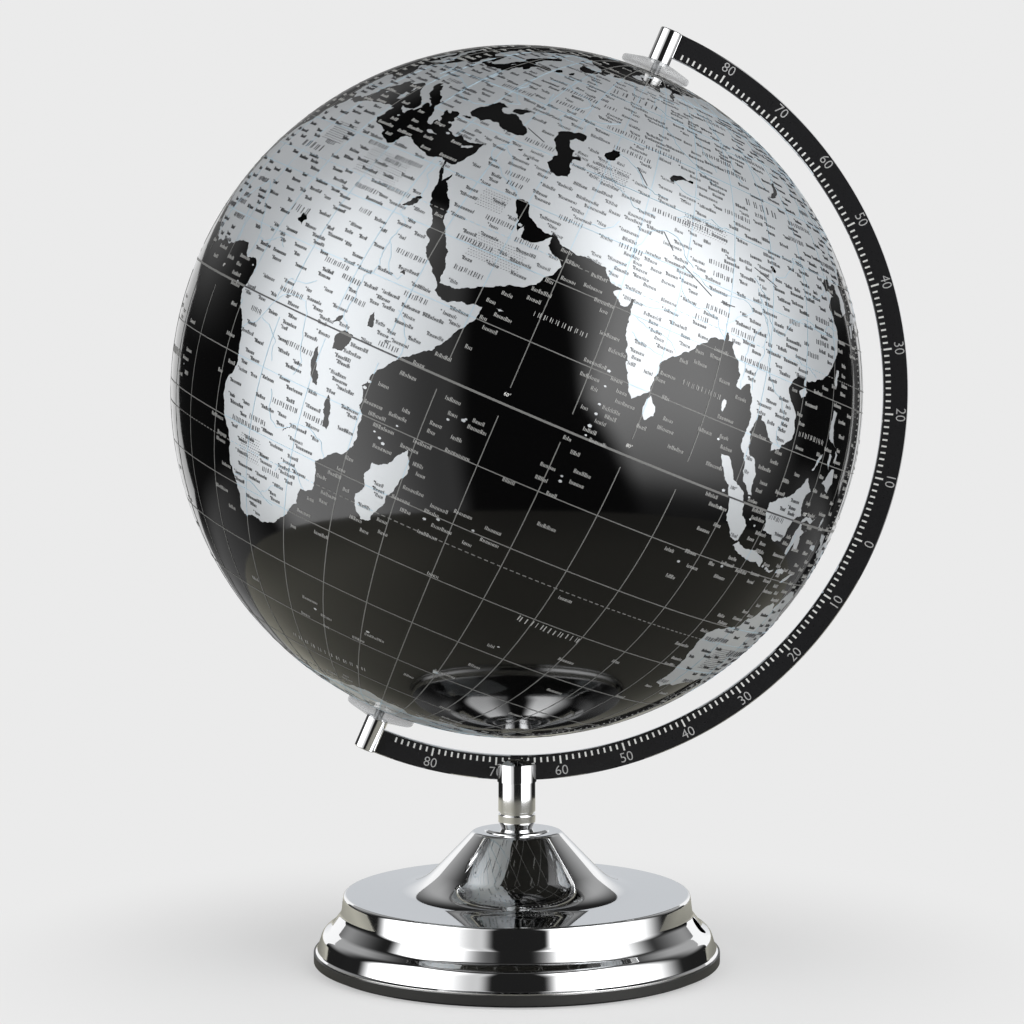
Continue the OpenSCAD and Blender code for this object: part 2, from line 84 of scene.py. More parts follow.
land_loops = """
-5.9,35.8 -5.3,35.9 -4.8,35.3 -3,35.3 -2,35.1 -1,35.7 0.1,36 1.5,36.5 3,36.8 5,36.8 6.5,37 8,36.9 9.8,37.3
10.3,36.8 11.1,37 10.6,36.2 10.6,35.7 11,35.2 10.7,34.6 10.1,34.1 10.6,33.7 11.2,33.2 12.3,32.9 13.2,32.9
14.3,32.6 15.3,32.3 15.6,31.4 17,30.9 18,30.6 19,30.3 20,30.9 20.1,32.1 21,32.8 22,32.9 23.1,32.5 24,32
25.1,31.7 27,31.3 29,30.9 30,31.3 31,31.6 32,31.3 32.3,30 32.6,29.1 33.2,28.3 33.8,27.2 34,26 34.8,24.4
35.2,23.1 36.3,22.2 37,21.5 37.3,20.9 37.2,19.6 37.6,18.7 38.6,18 39.1,16 39.5,15.6 40.5,14.9 41.5,13.8
42.7,13 43.2,12.4 43.3,11.4 45,10.5 47,11.1 49,11.3 51.2,11.9 51.1,10.5 50.8,9.3 49.8,7.8 48.8,6 48,4.5
45.5,2.1 43.5,0.5 42,-0.9 41.3,-2 40.2,-3 39.6,-4.1 38.8,-6 39.4,-6.9 39.5,-8.9 40.5,-10.5 40.6,-12.5
40.7,-15 39.8,-16.4 37.5,-17.6 36.2,-18.9 34.8,-19.9 35.3,-21.5 35.5,-23.8 35.2,-24.7 33,-25.3 32.7,-26
32.6,-28 31,-29.9 30,-31.3 28,-33 25.8,-34 22.5,-34.1 20,-34.8 18.4,-34.1 18.2,-32.8 18.2,-31.8 17,-29.5
16.4,-28.6 15.3,-27.2 14.9,-25 14.5,-22.8 13.4,-20.8 12.4,-18.5 11.8,-17.2 11.8,-15.8 12.5,-13.5 13.4,-12.3
13.8,-10.8 13.2,-8.9 12.9,-7.5 12.3,-6 11.9,-4.8 11,-3.8 9.6,-2.4 8.8,-0.7 9.4,0.4 9.6,1 9.8,2.4 9.8,3.4
8.9,4.5 8.5,4.7 7,4.4 6,4.3 5.2,5.5 4.5,6.3 2.5,6.3 1.2,6 0,5.6 -2,4.8 -3,5.1 -4.5,5.2 -6,4.8 -7.6,4.4 -9,5
-10.8,6.3 -12.5,7.5 -13.2,8.5 -13.7,9.5 -15,10.8 -16.5,12.2 -16.8,13.3 -17.5,14.7 -16.5,16 -16.3,18
-16.3,19.5 -17,21 -16.2,22.5 -15.9,23.8 -14.8,25.8 -14.4,26.3 -13.2,27.7 -12,28.2 -10.3,29.3 -9.6,30.4
-9.8,31.5 -8.6,33.2 -7.5,33.7 -6.5,34.4 / 32.6,30.4 32.5,31.2 33.2,31.1 34.2,31.3 34.8,32.3 35.1,33.1 35.6,34
35.9,35.3 36,36.2 36.2,36.8 35,36.6 34,36.3 33,36.1 32,36.2 30.7,36.9 30.3,36.3 29,36.3 28.2,36.7 27.3,37
27.2,37.9 26.4,38.3 26.8,38.9 26.1,39.5 26.3,40.1 26.2,40.4 26,40.8 24.8,40.9 23.9,40.7 24.3,40.1 23.4,40.2
22.8,40.5 22.7,39.9 23.3,39.2 23,38.8 24,38.2 24.1,37.7 23.3,38 22.9,37.5 23.1,36.5 22.5,36.5 21.8,36.8
21.2,37.8 21.2,38.3 20.7,38.9 20.2,39.6 19.4,40.4 19.5,41.5 18.5,42.4 17,43 15.8,43.7 14.9,44.7 14.3,45.2
13.6,45 13.5,45.7 12.4,45.4 12.3,44.5 13.5,43.6 14.2,42.4 15.2,41.9 16.1,41.8 15.9,41.4 17,41.1 18.4,40.3
18.4,39.8 17.8,40.3 17,40.5 16.6,39.8 17.1,39.1 16.6,38.6 16.1,37.9 15.7,38.1 16.1,38.8 15.7,40 14.8,40.6
14.1,40.9 13,41.2 12.2,41.8 11.1,42.4 10.4,43.2 10.1,43.9 8.8,44.4 7.5,43.8 6.6,43.2 5,43.3 3.9,43.5 3.1,42.9
3.2,42 2.2,41.4 0.8,40.8 -0.3,39.5 0.2,38.8 -0.5,38.2 -0.8,37.6 -2,36.8 -4.4,36.7 -5.4,36.1 -6.2,36.5
-6.9,37.2 -8.9,37 -8.8,38.4 -9.5,38.8 -8.8,40.5 -8.9,42 -9.2,43.1 -8,43.7 -5.8,43.6 -3.8,43.5 -1.8,43.4
-1.2,44.7 -1.2,46 -2.2,47.2 -4.5,47.9 -4.7,48.5 -3,48.8 -1.6,48.7 -1.8,49.7 -0.2,49.3 0.2,49.7 1.6,50.3
1.7,50.9 3.2,51.4 4.2,52.1 4.8,53 7,53.5 8.6,53.8 8.7,54.9 8.1,55.6 8.2,56.8 9.5,57.2 10.6,57.7 10.4,56.5
10.9,56.3 10.2,55.6 9.8,55 10.9,54.4 12.5,54.4 14.2,54 16.5,54.5 18.6,54.7 19.5,54.4 21,55 21.1,56.8 22,57.6
23.5,57 24.3,57.8 23.6,58.7 24.8,59.5 28,59.5 30.2,59.9 28.5,60.6 25,60.2 22.9,59.9 21.4,60.8 21.5,62.5
23,63.8 25.3,65 24,65.8 22,65.5 21.3,64.5 18.5,62.8 17.3,61.5 17.3,60.6 18.8,60 18,59 16.7,57.8 16.4,56.5
15.6,56.2 14.3,55.5 12.9,55.5 12.4,56.3 11.8,57.7 11.2,59 10.5,59.5 9.5,59 8,58.1 5.7,58.7 5.1,60 5,61.8
7.5,63.3 10,64.2 12.5,66 14.5,67.8 16.5,68.8 19.5,70 23.5,70.8 26,71.1 29,70.8 31,70.2 33,69.4 37,68.6
41,67.2 40,66.2 35,66.4 32.5,67 34.8,64.5 37.8,63.9 40.2,64.7 41,66 44,66 44,68.2 46,68 46.5,66.8 48.5,67.5
53.5,68.3 60,68.8 60.8,69.8 65,69.2 67,69 66.8,70.8 68.2,71.8 69,72.8 72.5,72.9 72.8,71 72,69 73.5,67.5
73.8,68.5 73.8,71 75,72 80.5,72.2 80.5,73.5 86.5,74 92,75.7 98,76.2 104,77.7 112,76.5 113.5,75.5 109,74
113,73.7 120,73 127,73.3 129.5,71 134,71.5 140,72.5 150,71.5 157,71 162,69.6 170,70 178,69.3 182,68 190,66.1
186,64.4 180,65 177.5,64.8 179.3,62.5 174,61.7 170,60 164,59.9 163,58.2 162.5,56.3 160,53 156.8,51 155.7,54
155.8,57 160,60.2 163.5,62.5 160,61.8 155,59.3 149.5,59.5 143,59.3 138,56 135.3,54.7 139,54 141.3,53
140.5,50.5 140,48 136,44 132,43.2 130.7,42.3 129.7,41 127.6,39.8 128.3,38.6 129.4,37 129.3,35.4 126.5,34.4
126.4,36.8 126.6,37.6 125,38.1 125,39.5 121.6,38.9 121.8,40.7 119,39.3 117.8,38.8 119,37.3 120.8,37.7
122.6,37.2 120.3,36 119.3,34.9 120.8,33 121.9,31.6 121.8,29.8 121.5,28.3 119.7,26 118.2,24.5 116.6,23.3
114.2,22.3 111.8,21.5 110.4,21.3 110.5,20.3 109.8,20.4 109.7,21.6 108,21.6 106.7,20.5 105.8,18.9 107.5,16.8
108.9,15.3 109.4,12.9 109.1,11.6 107.1,10.4 106.7,9.5 104.8,8.6 104.9,10.1 103.5,10.6 102.4,12.1 101,12.7
100.9,13.5 100,13.4 99.7,11.8 99.2,10.3 99.9,9.2 100.5,7.3 101.6,6.9 102.4,6.2 103.4,4.7 103.5,2.7 104.2,1.4
103.4,1.4 101.4,2.9 100.5,4.5 100.3,5.8 99.5,7 98.4,7.9 98.5,10 98.7,12 98.1,13.8 97.6,15.8 96.9,17.2
95.3,15.8 94.3,16 94.5,18 93.5,19.9 92.2,21.1 91.8,22.4 90.8,22.2 90.5,23.5 90,22 89,21.8 87.2,21.4 86.9,20.6
85.3,19.7 83.3,17.8 82.3,16.7 81,15.9 80.1,15 80.2,13.2 79.8,11.5 79.9,10.3 79,9.5 78.2,8.8 77.5,8.1 76.5,9.2
75.6,11.5 74.7,13.5 73.8,15.8 73,18 72.8,19.3 72.7,21.1 72.8,22.3 72.2,22.3 72,20.9 70.8,20.6 69,22.1
70.3,22.9 68.6,23.2 67.5,24 66.6,25.2 64.5,25.3 61.6,25.2 58.5,25.6 57,26.8 56.3,27.1 54.5,26.6 52.5,27.5
51.3,28 50.6,29.3 50,30.2 48.8,30.3 47.9,29.9 48.2,29 48.9,27.8 50.1,26.6 50.3,25.6 50.8,24.8 50.9,25.6
51.3,26.1 51.6,25.1 51.8,24.2 53.5,24.1 54.6,24.6 55.9,25.9 56.4,26.3 56.4,24.8 57.5,23.8 58.8,23.5 59.8,22.5
58.6,20.4 57.7,19 56.6,18 55,17 52.3,16 51.1,15.2 48.7,14 45.1,12.9 43.5,12.7 43.2,13.5 42.7,16 41.2,18.8
39.3,21.3 38.4,24 37.3,25.5 35.9,27.3 35.4,27.8 34.9,28.1 35.1,29.6 34.6,28.6 34.2,27.8 33.5,28.8 32.9,29.9 /
-168,65.7 -161,66.3 -166.5,68.3 -162.5,69.9 -156.5,71.3 -150,70.5 -141,69.7 -135,69.3 -128,70.2 -124,69.8
-117,68.9 -114.5,67.9 -108,67.8 -102,67.7 -96.5,67.5 -95.5,69 -94.5,71.9 -92,70 -90,68.7 -87.5,67.3 -85,69.5
-81.5,69.2 -82,67 -86.5,66.3 -87,64.5 -90.5,63.3 -94.2,61 -94.7,58.8 -92.5,57 -88.5,56.5 -82.5,55.2 -82,52.8
-80,51.2 -78.8,52.5 -79.3,54.7 -76.7,56.7 -78.5,58.8 -77.5,60.5 -78,62.4 -73.7,62.3 -70,61 -69.5,59 -66,58.8
-64.5,60.3 -61.5,57 -57.5,54.5 -55.8,52.5 -58.5,51.3 -65,50.2 -68,48.9 -70.5,47 -67,49 -64.3,48.9 -65,47.2
-61.5,45.8 -61,45.3 -65.5,43.5 -65.5,44.8 -67,44.8 -70.2,43.6 -70.8,42.5 -70,41.7 -73.8,40.8 -74.2,39.5
-75.8,37.2 -75.5,35.3 -78,33.9 -81.2,31.7 -81.4,30 -80.1,27 -80.4,25.3 -81.8,26.1 -82.7,28 -84,30 -86,30.3
-89.3,30.3 -89.2,29.1 -91.5,29.5 -94.8,29.4 -97.2,27.6 -97.6,24.5 -97.8,22.2 -96.2,19.2 -94.5,18.2 -91.8,18.6
-90.6,20 -90.3,21.1 -87,21.5 -87.5,19 -88.2,17.5 -88.8,15.9 -85.5,15.9 -83.3,15 -83.6,12.5 -83.6,10.9 -81.8,9
-79.6,9.6 -77.3,8.6 -78.5,8.2 -80,7.4 -81.5,7.7 -83,8.3 -84.9,9.8 -85.9,11 -87.6,13 -91.5,14 -94,16.1
-96.5,15.7 -99.8,16.8 -102.5,18 -105.5,19.9 -105.5,22 -107.5,24.5 -109.3,26.5 -111,27.9 -112.8,30 -114.7,31.8
-114.7,30.9 -112.8,28.2 -111.3,26 -109.5,23.2 -110.2,23.2 -112.1,25 -114.2,27.2 -114.1,28.5 -115.9,30.3
-117.1,32.5 -118.5,34 -120.6,34.6 -122.4,37.5 -124.3,40.4 -124,43 -124,46.2 -124.7,48.3 -122.5,48 -122.8,49.2
-127.5,51 -130,53.8 -131,55.5 -134,58 -139,59.6 -144,60 -148,60.8 -151.5,59.3 -151.5,61 -154,59 -158,57
-163,54.8 -160,56 -157.5,58.7 -162,58.7 -164.5,60.5 -165.8,62 -161,63.6 -161,64.5 -166.3,64.6 / -77.3,8.5
-75.6,10.5 -74.2,11.3 -71.7,12.4 -71.3,11 -70,12.1 -68,10.7 -64.8,10.2 -62,10.7 -60.8,8.6 -58,6.8 -54.5,5.9
-51.8,4.7 -50,1.5 -50,0 -48.5,-0.7 -44.5,-2.6 -41,-2.9 -38.5,-3.8 -35.3,-5.3 -34.8,-7.7 -36.5,-10.4 -38.5,-13
-39,-16 -39.6,-19 -41,-22 -43.5,-23 -46.5,-24 -48.6,-26.3 -49,-28.7 -52,-33 -53.8,-34.5 -56.2,-34.9 -58.3,-34
-57.5,-35.8 -57.5,-38 -62,-39 -62.3,-41 -65,-41 -63.8,-42.6 -65.3,-44.5 -67.5,-46.2 -65.8,-47.8 -68.5,-50.2
-68.4,-52.4 -71,-53.8 -74,-52 -75.5,-49.5 -75.5,-46.8 -73,-44 -73.8,-41 -73.5,-38 -72.5,-35.5 -71.5,-32
-71.3,-29 -70.4,-25 -70.2,-20 -71.5,-17.7 -75.5,-15 -77.2,-12 -79.5,-8 -81.2,-5.5 -80.3,-3.4 -81,-2 -80,0.2
-78.8,1.5 -77.2,4 -77.6,6.5 -78,7.8 / -73,78.2 -67,76 -58,75.5 -55,71.5 -51.5,69.5 -53.5,66.8 -51,63.8 -48,61
-43.5,59.9 -41,62.5 -39.5,65.3 -32.5,68 -24.5,70.5 -21.8,72.5 -19.5,76 -18,79.5 -20,81.7 -32,83.5 -45,82.3
-60,82 -65,80.5 / -180,-78 -160,-78.5 -150,-77 -135,-74.5 -120,-74 -102,-73 -98,-72.5 -85,-73.5 -75,-73
-68,-70 -66.5,-67 -60,-64 -57,-63.3 -60.5,-66 -61,-70 -61,-74 -60,-75.5 -50,-77.5 -37,-78.3 -27,-76 -18,-73
-8,-71 5,-70 20,-70 35,-69 42,-68 52,-66 58,-67.2 70,-68 74,-70 80,-68.3 88,-66.8 100,-66 113,-66 130,-66.3
143,-67 155,-69 165,-71 170,-72.5 165,-75 165,-78 / 113.5,-22 114,-21.8 116.5,-20.7 119,-20 121.5,-19
122.2,-17.5 123.8,-17 125.2,-14.8 127,-13.8 129.3,-15 130.3,-13.3 131,-12.2 132.8,-11.3 136.9,-12.2
135.8,-14.9 139,-17.5 140.8,-17.5 141.6,-14 142.5,-10.7 143.8,-14.4 145.4,-15 146.3,-18.8 149,-20.3
150.8,-23.2 153,-25.2 153.5,-28.5 152.5,-32.3 150.2,-36.5 148,-37.9 145,-38 143.5,-38.8 140.7,-38 139,-35.7
138,-34.5 138,-33 136.5,-35 134.2,-32.7 131.2,-31.5 128,-32.2 124,-33.2 120,-33.9 117.8,-35.1 115.1,-34.3
115.7,-31.7 114.2,-27 113.6,-24.5 / -5.5,50.1 -3.5,50.3 -1,50.7 1.3,51.1 0.8,51.5 1.7,52.6 0.3,53 -0.2,54
-1.5,55 -2,55.9 -3.3,56 -2,57.5 -4,57.7 -3.1,58.6 -5,58.6 -5.8,57.3 -5.3,56 -4.8,54.9 -3.2,54.9 -3,53.5
-4.5,53.3 -4.2,52.3 -5.2,51.8 -3,51.4 -4.3,51.1 / -6.2,53.4 -6.4,52.2 -8.5,51.6 -10.2,51.9 -9.2,53.2 -10,54.2
-8.3,54.5 -7.5,55.3 -5.7,54.7 / -22.5,63.9 -18.7,63.4 -14,64.6 -14.8,66.1 -18,66 -20.5,65.7 -22.5,66.4
-24.3,65.5 -22,64.8 / 51.5,71.5 55.5,70.7 57.5,71 55.5,72.8 58,74.5 64,75.8 69,76.8 66,77 58,76 54.5,74.5
53,73 / 11,79.2 14,77.5 17,76.6 21,78.3 26,79.5 22,80.3 15,80 / 95,79 100,78 105,78.5 100,80 96,81 /
137.5,75.5 142,73.4 150,75.2 143,76.1 / 178.7,71 182.3,71 181,71.6 / 12.5,38 15.6,38.3 15.1,36.7 12.9,37.5 /
8.2,41 9.7,41 9.6,39.2 8.4,39 / 8.6,42.4 9.4,43 9.5,42 9.2,41.4 / 23.6,35.5 24.8,35.5 26.3,35.2 24.8,34.9
23.6,35.2 / 32.4,35.1 33.6,35.4 34.6,35.7 33.9,34.9 32.7,34.6 / 49.3,-12 50.5,-15.5 49.5,-18 47.9,-22.5
47,-25 45.2,-25.6 43.6,-23.5 43.3,-22 44.4,-20 44,-18 44.5,-16.2 46.3,-15.7 48,-13.6 / 79.8,8 80.3,9.7
81.3,8.5 81.8,7 80.6,5.9 79.9,6.8 / 95.3,5.6 97.5,5.2 98.7,3.7 100.4,2.2 103.3,0 103.6,-1.1 104.8,-2.3
106,-3.2 105.8,-5.8 104.6,-5.9 102.3,-4 100.4,-1 98.8,1.7 97,3.2 / 105.2,-6.8 106.1,-5.9 108.5,-6.7
110.8,-6.4 112.6,-6.9 114.4,-7.8 114.5,-8.7 111,-8.3 108,-7.8 106.4,-7.4 / 109,1.5 110,1.8 111.4,2.6 113,3.2
114.8,4.8 116.8,7 119.2,5.2 117.9,4.1 118,2.2 119,1 117.5,0.5 116.5,-1.5 116.2,-3.8 114.6,-4.1 113,-3.2
110.2,-2.9 109.3,-0.7 / 120,0.7 121.5,1.1 124.8,1.6 123.5,0.3 120.3,0.3 121,-1 123.3,-0.8 121.6,-2 122.6,-4.3
121.4,-4.6 120.9,-2.8 120.2,-5.5 119.5,-5.4 119.3,-3 119.8,-0.8 / 131,-0.8 134,-0.8 134.8,-3.2 137.8,-1.5
141,-2.6 144.5,-3.9 147.5,-6 148,-8 150.8,-10.4 147,-9.5 144.5,-7.7 142.8,-9.2 141,-9.1 138,-8.3 138,-5.8
135,-4.5 132.8,-3.9 133.5,-2.5 / 127.5,1 128,2.1 128.6,1.4 128.2,-0.5 127.7,0 / 128,-3.1 130.5,-3 130.8,-3.8
128.2,-3.5 / 123.6,-10.3 125,-9 127.2,-8.4 126,-9.3 124.3,-10.2 / 119.9,-8.4 122.8,-8.1 122.7,-8.7 120,-8.9 /
116.8,-8.5 119,-8.3 118.8,-8.8 116.8,-9 / 120.3,16 120.8,18.5 122.2,18.4 121.6,16 122.2,14.3 124,13
122.5,13.6 120.7,14 / 122,7 123.5,8.6 125.5,9.7 126.5,7.5 125.4,5.7 124,6.5 / 122,11.8 123.2,11.5 123,9.2
122,10.5 / 124.4,12.5 125.5,12 125.3,10.2 124.6,11 / 117.2,8.4 119.5,11.3 119.3,10.5 117.8,8.4 / 120.1,23
121,25 121.9,25 120.9,22 / 108.7,19.3 110.3,20.1 111,19.6 109.6,18.3 / 131,34 133,35.5 136,35.8 137,37.2
138.8,37.8 140,39.5 140.2,41 141.4,41.3 142,39.6 141,38.2 140.8,36 139.8,35 138,34.7 136,33.6 135.2,34.5
132.5,34.2 / 130,33.3 131.7,33.6 131.5,31.5 130.2,31.2 / 132.5,33.9 134.5,34.2 134,33.4 132.8,32.8 / 140,41.6
141.5,42.5 143.3,42 145.5,43.3 142,45.4 141.6,43.3 140.3,43.2 / 142,46 143.5,46.8 143,49 144.4,49.2
143.2,52.5 142.7,54.3 141.9,53.3 142.2,50.5 / 144.7,-40.8 148.3,-40.9 148,-43.2 146,-43.5 / 172.8,-34.5
175.5,-36.5 178.5,-37.7 176.5,-40.5 175,-41.5 175,-40 173.8,-39.3 174.8,-37.5 / 172.8,-40.6 174.3,-41.8
171.2,-44.3 170.5,-46 168.4,-46.6 166.6,-45.8 170.5,-42.9 / 164,-20.2 167,-22.3 166.2,-22.2 / 148.5,-5.8
152,-4.2 152,-5 150,-6.3 / -84.8,22 -82.5,23.1 -80,23 -77,21.5 -74.2,20.2 -77.7,19.9 -77.5,20.7 -81.5,22.3 /
-74.3,18.5 -72.8,20 -70,19.7 -68.5,18.5 -70.6,18.3 -71.7,17.8 / -78.3,18.3 -76.3,18.1 -77.2,17.8 / -67.2,18.4
-65.7,18.4 -66.5,18 / -59.3,47.8 -57.3,50.8 -55.7,51.4 -55.5,49.5 -53,48.5 -53.3,46.7 -55.9,47 / -128.3,50.8
-125.2,50.2 -123.5,48.5 -125.8,49 / -85,70 -80,73.6 -72,71.5 -67.5,69 -62,66.8 -65,64.5 -66,62 -72,64
-78,64.8 -73.5,65.5 -73,68 -79,69.8 / -116.5,73 -107,73.3 -101.5,69.8 -105,68.9 -116,69 -117.5,70.5 /
-89,76.5 -77,76.4 -75,79 -62,82.5 -75,83 -90,81.5 -86,79 / -95,75.5 -80,75.3 -82,74.5 -92,74.7 / -125.5,72
-120,71.3 -115.5,73.4 -121,74.5 / -87,64 -81,64 -84,66 / -74.5,-52.9 -68.5,-52.6 -65.2,-54.7 -68.5,-55.5
-71,-54.9 / -61,-51.5 -57.8,-51.5 -59,-52.3 / 68.8,-48.8 70.5,-49.2 69.2,-49.7 / 10.9,55.3 12.5,56.1
12.3,55.2 / 18.1,57.3 19.2,57.9 18.4,57 / 2.4,39.6 3.4,39.9 3.1,39.3 / 53.3,12.6 54.5,12.6 53.8,12.3 /
92.6,13.5 93.1,13.4 92.9,11.6 92.6,11.8
"""
lake_loops = """
27,40.5 28,40.4 29,40.5 29.3,40.8 28.8,41 27.8,40.95 27.2,40.7 / 29.1,41.2 31,41.1 32.5,41.8 35,42 36.3,41.3
38,41 40,41 41.5,41.5 41.6,42.4 39.7,43.5 37.8,44.6 36.6,45.2 35.4,45 34,44.4 33.4,44.6 32.6,45.4 33.6,46.1
31.8,46.5 30.7,46.4 29.7,45.4 28.7,44 27.9,43.2 27.6,42.4 28,41.6 / 35.2,46.3 36.5,46.7 37.4,47.1 38.8,47.1
38,46.4 37.8,45.8 37.2,45.4 36,45.4 35.1,45.5 / 48,45.8 49,46.2 51.2,46.9 53,46.7 53,45.3 51.3,45.3 50.3,44.4
51,43.2 52.5,42.7 52.6,41.5 53.8,42 54.7,41.3 53,40.8 53,39.9 53.8,38.9 53.9,37.3 51.8,36.6 50,37.4 48.9,38.4
49.4,40.1 49.9,40.4 48.6,41.8 47.5,43 47.4,44.5 47,45 / 58.5,45 59.5,46.3 61,46.5 61.5,45.5 60.6,44 59.3,43.7
58.4,44.2 / 73.4,45.4 74,46.3 76,47 79.2,46.9 79,46.3 76.5,46.3 74.8,45.3 73.9,44.9 / 103.8,51.5 105.5,51.6
107.8,52.6 109.6,54.5 109.9,55.7 109.1,55.6 107.6,53.6 105.5,52.3 / 31.6,-0.5 32.2,0.2 33,0.5 34.3,0.3
34.2,-1.2 33.4,-2.6 31.8,-2.8 31.5,-1.4 / 29.3,-3.3 29.9,-4.5 30.2,-6 31.1,-7.3 31.4,-8.9 30.5,-8.8 29.6,-7.2
29,-6 28.9,-4.5 / 34,-9.4 34.9,-10.8 35.2,-12.5 35.4,-14.5 34.5,-14.3 34,-12.3 33.7,-10.5 / 30.3,61 31.5,61.7
32.8,61 32,60.2 31,59.9 / 34.7,61.2 35.5,62.5 36.4,61.2 35.5,60.9 / 12.5,58.7 13.5,59.2 14,58.7 / 13.1,13
13.6,13.4 13.6,14.2 14.7,14 15.3,13.4 14.8,13.1 14.9,12.3 14.1,12.7 / 35.9,2.4 35.6,4 36,4.8 36.6,3.8
36.8,2.5 / 30.2,0.9 30.9,2.2 31.5,2.5 31.1,1.3 / 45,37.3 45.3,38.2 45.8,37.4 / 42.4,38.5 43.4,38.9 43.2,38.4
/ 36.9,11.7 37.3,12.4 37.8,11.7 / 30.6,21.6 31.2,22.4 32.6,24.1 33.2,23.9 32.9,22.8 31.6,21.8 / 27.3,-17.5
28.8,-16.6 28.6,-16.9 27.3,-17.9 / 76.3,42.4 78.2,42.7 77.5,42.2 / 99.3,37.2 100,37.5 101,36.9 100.6,36.4
99.8,36.6 / 99,74.5 104,74.8 101,74.2 / 136.7,-28 137.8,-28 137.3,-29 / -70,-15.4 -68.7,-16.5 -69.4,-16.3 /
-85.8,12 -84.8,11.2 -85.4,11.2 / -92,46.7 -89,48 -86,48.7 -84.6,46.5 -87,46.5 -90,46.6 / -87.8,42 -87.9,44
-87,45.7 -85.2,45.8 -86.4,43.5 -86.8,41.8 / -84.5,45.9 -81,46 -80,44.7 -81.7,43.2 -83.5,43.8 -83.4,45.2 /
-83.3,41.7 -80,42.7 -79,42.9 -81.5,41.6 / -79.7,43.3 -77.5,43.9 -76.3,44 -76.5,43.5 -79,43.3 / -97,50.5
-98.8,53 -97.8,53.8 -96.5,51 / -117,61 -112,62.5 -109.5,62.8 -113,61 -115.5,60.8 / -124.5,65.2 -121,66.6
-117.5,66.3 -121,65.2
"""
islets = """
-16.5,28.3 -14,28.5 -17.9,28.7 -23.6,15.1 -24.9,16.8 -25.5,37.8 -28.3,38.5 -17,32.8 6.6,0.2 8.8,3.5
43.3,-11.6 44.4,-12.2 45.2,-12.8 55.5,-21.1 57.6,-20.3 63.4,-19.7 55.5,-4.6 55.8,-4.3 53.3,-5.4 46.4,-9.4
73.2,5.5 73.3,4 73.1,2 73.1,0.5 72.3,-6.5 72.4,-7.3 72.7,10.6 73,8.3 93.8,7.5 105.6,-10.5 96.8,-12.1
39.4,-6.1 39.8,-5 -155.5,19.6 -155.9,19.8 -156.4,20.8 -158,21.5 178,-17.8 179.5,-16.6 -172.5,-13.7
-149.5,-17.6 167,-15.5 168.3,-17.7 160,-9.5 157.5,-8 161.5,-10.5 -36.8,-54.3 37.7,-46.9 51.5,-46.4 77.5,-37.8
-5.7,-16 -14.3,-8 -12.3,-37.1 -91,-0.5 -109.4,-27.1 -7,62 -1.3,60.3 -3,59 -7,57.8 28,36.2 25.2,37 26.2,38.3
14.4,35.9 50.6,26.1 55.9,26.8 144.8,13.4 134.5,7.4 158.2,6.9 98.3,0.6 99.2,-2 103.9,1 106.2,-2.1 107.8,-2.8
115.2,-8.4 116.4,-8.6
"""


def loops(text):
    """The loops of a coast list as [longitude, latitude] pairs."""
    return [[tuple(map(float, pair.split(","))) for pair in loop.split()] for loop in text.split("/")]


def shore(a, b, rng):
    """Points from a up to b, bent at random at every halving, so that a plain line becomes a coast."""
    narrow = max(math.cos(math.radians((a[1] + b[1]) / 2)), polar_width)
    along, up = ((b[0] - a[0] + 180) % 360 - 180) * narrow, b[1] - a[1]
    if math.hypot(along, up) < coast_step:
        return [a]
    bend = rng.uniform(-1, 1) * coast_wobble
    middle = (a[0] + (along / 2 - bend * up) / narrow, a[1] + up / 2 + bend * along)
    return shore(a, middle, rng) + shore(middle, b, rng)


def coast(loop, rng):
    """A closed coast through a loop's points, with a point wherever it crosses the equator."""
    line = [p for a, b in zip(loop, loop[1:] + loop[:1]) for p in shore(a, b, rng)]
    whole = []
    for a, b in zip(line, line[1:] + line[:1]):
        whole.append(a)
        if a[1] * b[1] < 0:
            share = a[1] / (a[1] - b[1])
            whole.append((a[0] + share * ((b[0] - a[0] + 180) % 360 - 180), 0.0))
    return np.array(whole)


coast_rng = random.Random(11)
land = [coast(loop, coast_rng) for loop in loops(land_loops)]
lakes = [coast(loop, coast_rng) for loop in loops(lake_loops)]
for lon, lat in loops(islets)[0]:
    size = coast_rng.uniform(*islet_sizes)
    turns = np.radians([0, 72, 144, 216, 288]) + coast_rng.uniform(0, 1)
    land.append(np.stack([lon + size * np.cos(turns) / math.cos(math.radians(lat)),
                          lat + size * np.sin(turns) * islet_flat], 1))


def flat_map(points, pole):
    """[longitude, latitude] laid on a plane round the north (1) or the south (-1) pole, in degrees."""
    turn, out = np.radians(points[:, 0]), 90 - pole * points[:, 1]
    return np.stack([out * np.cos(turn), out * np.sin(turn)], 1)


def inside(points, loop):
    """Which points lie inside a closed loop, both on the same plane."""
    found = np.zeros(len(points), bool)
    low, high = loop.min(0), loop.max(0)
    near = np.where(((points >= low) & (points <= high)).all(1))[0]
    a, b = loop[None], np.roll(loop, -1, 0)[None]
    for part in np.array_split(near, len(near) // points_at_once + 1):
        p = points[part][:, None, :]
        above = (a[..., 1] > p[..., 1]) != (b[..., 1] > p[..., 1])
        with np.errstate(divide="ignore", invalid="ignore"):
            cut = a[..., 0] + (p[..., 1] - a[..., 1]) * (b[..., 0] - a[..., 0]) / (b[..., 1] - a[..., 1])
        found[part] = (above & (p[..., 0] < cut)).sum(1) % 2 == 1
    return found


coast_planes = {pole: [(dry, flat_map(shape, pole)) for dry, shapes in ((True, land), (False, lakes))
                       for shape in shapes if (shape[:, 1] * pole).max() > -1] for pole in (1, -1)}


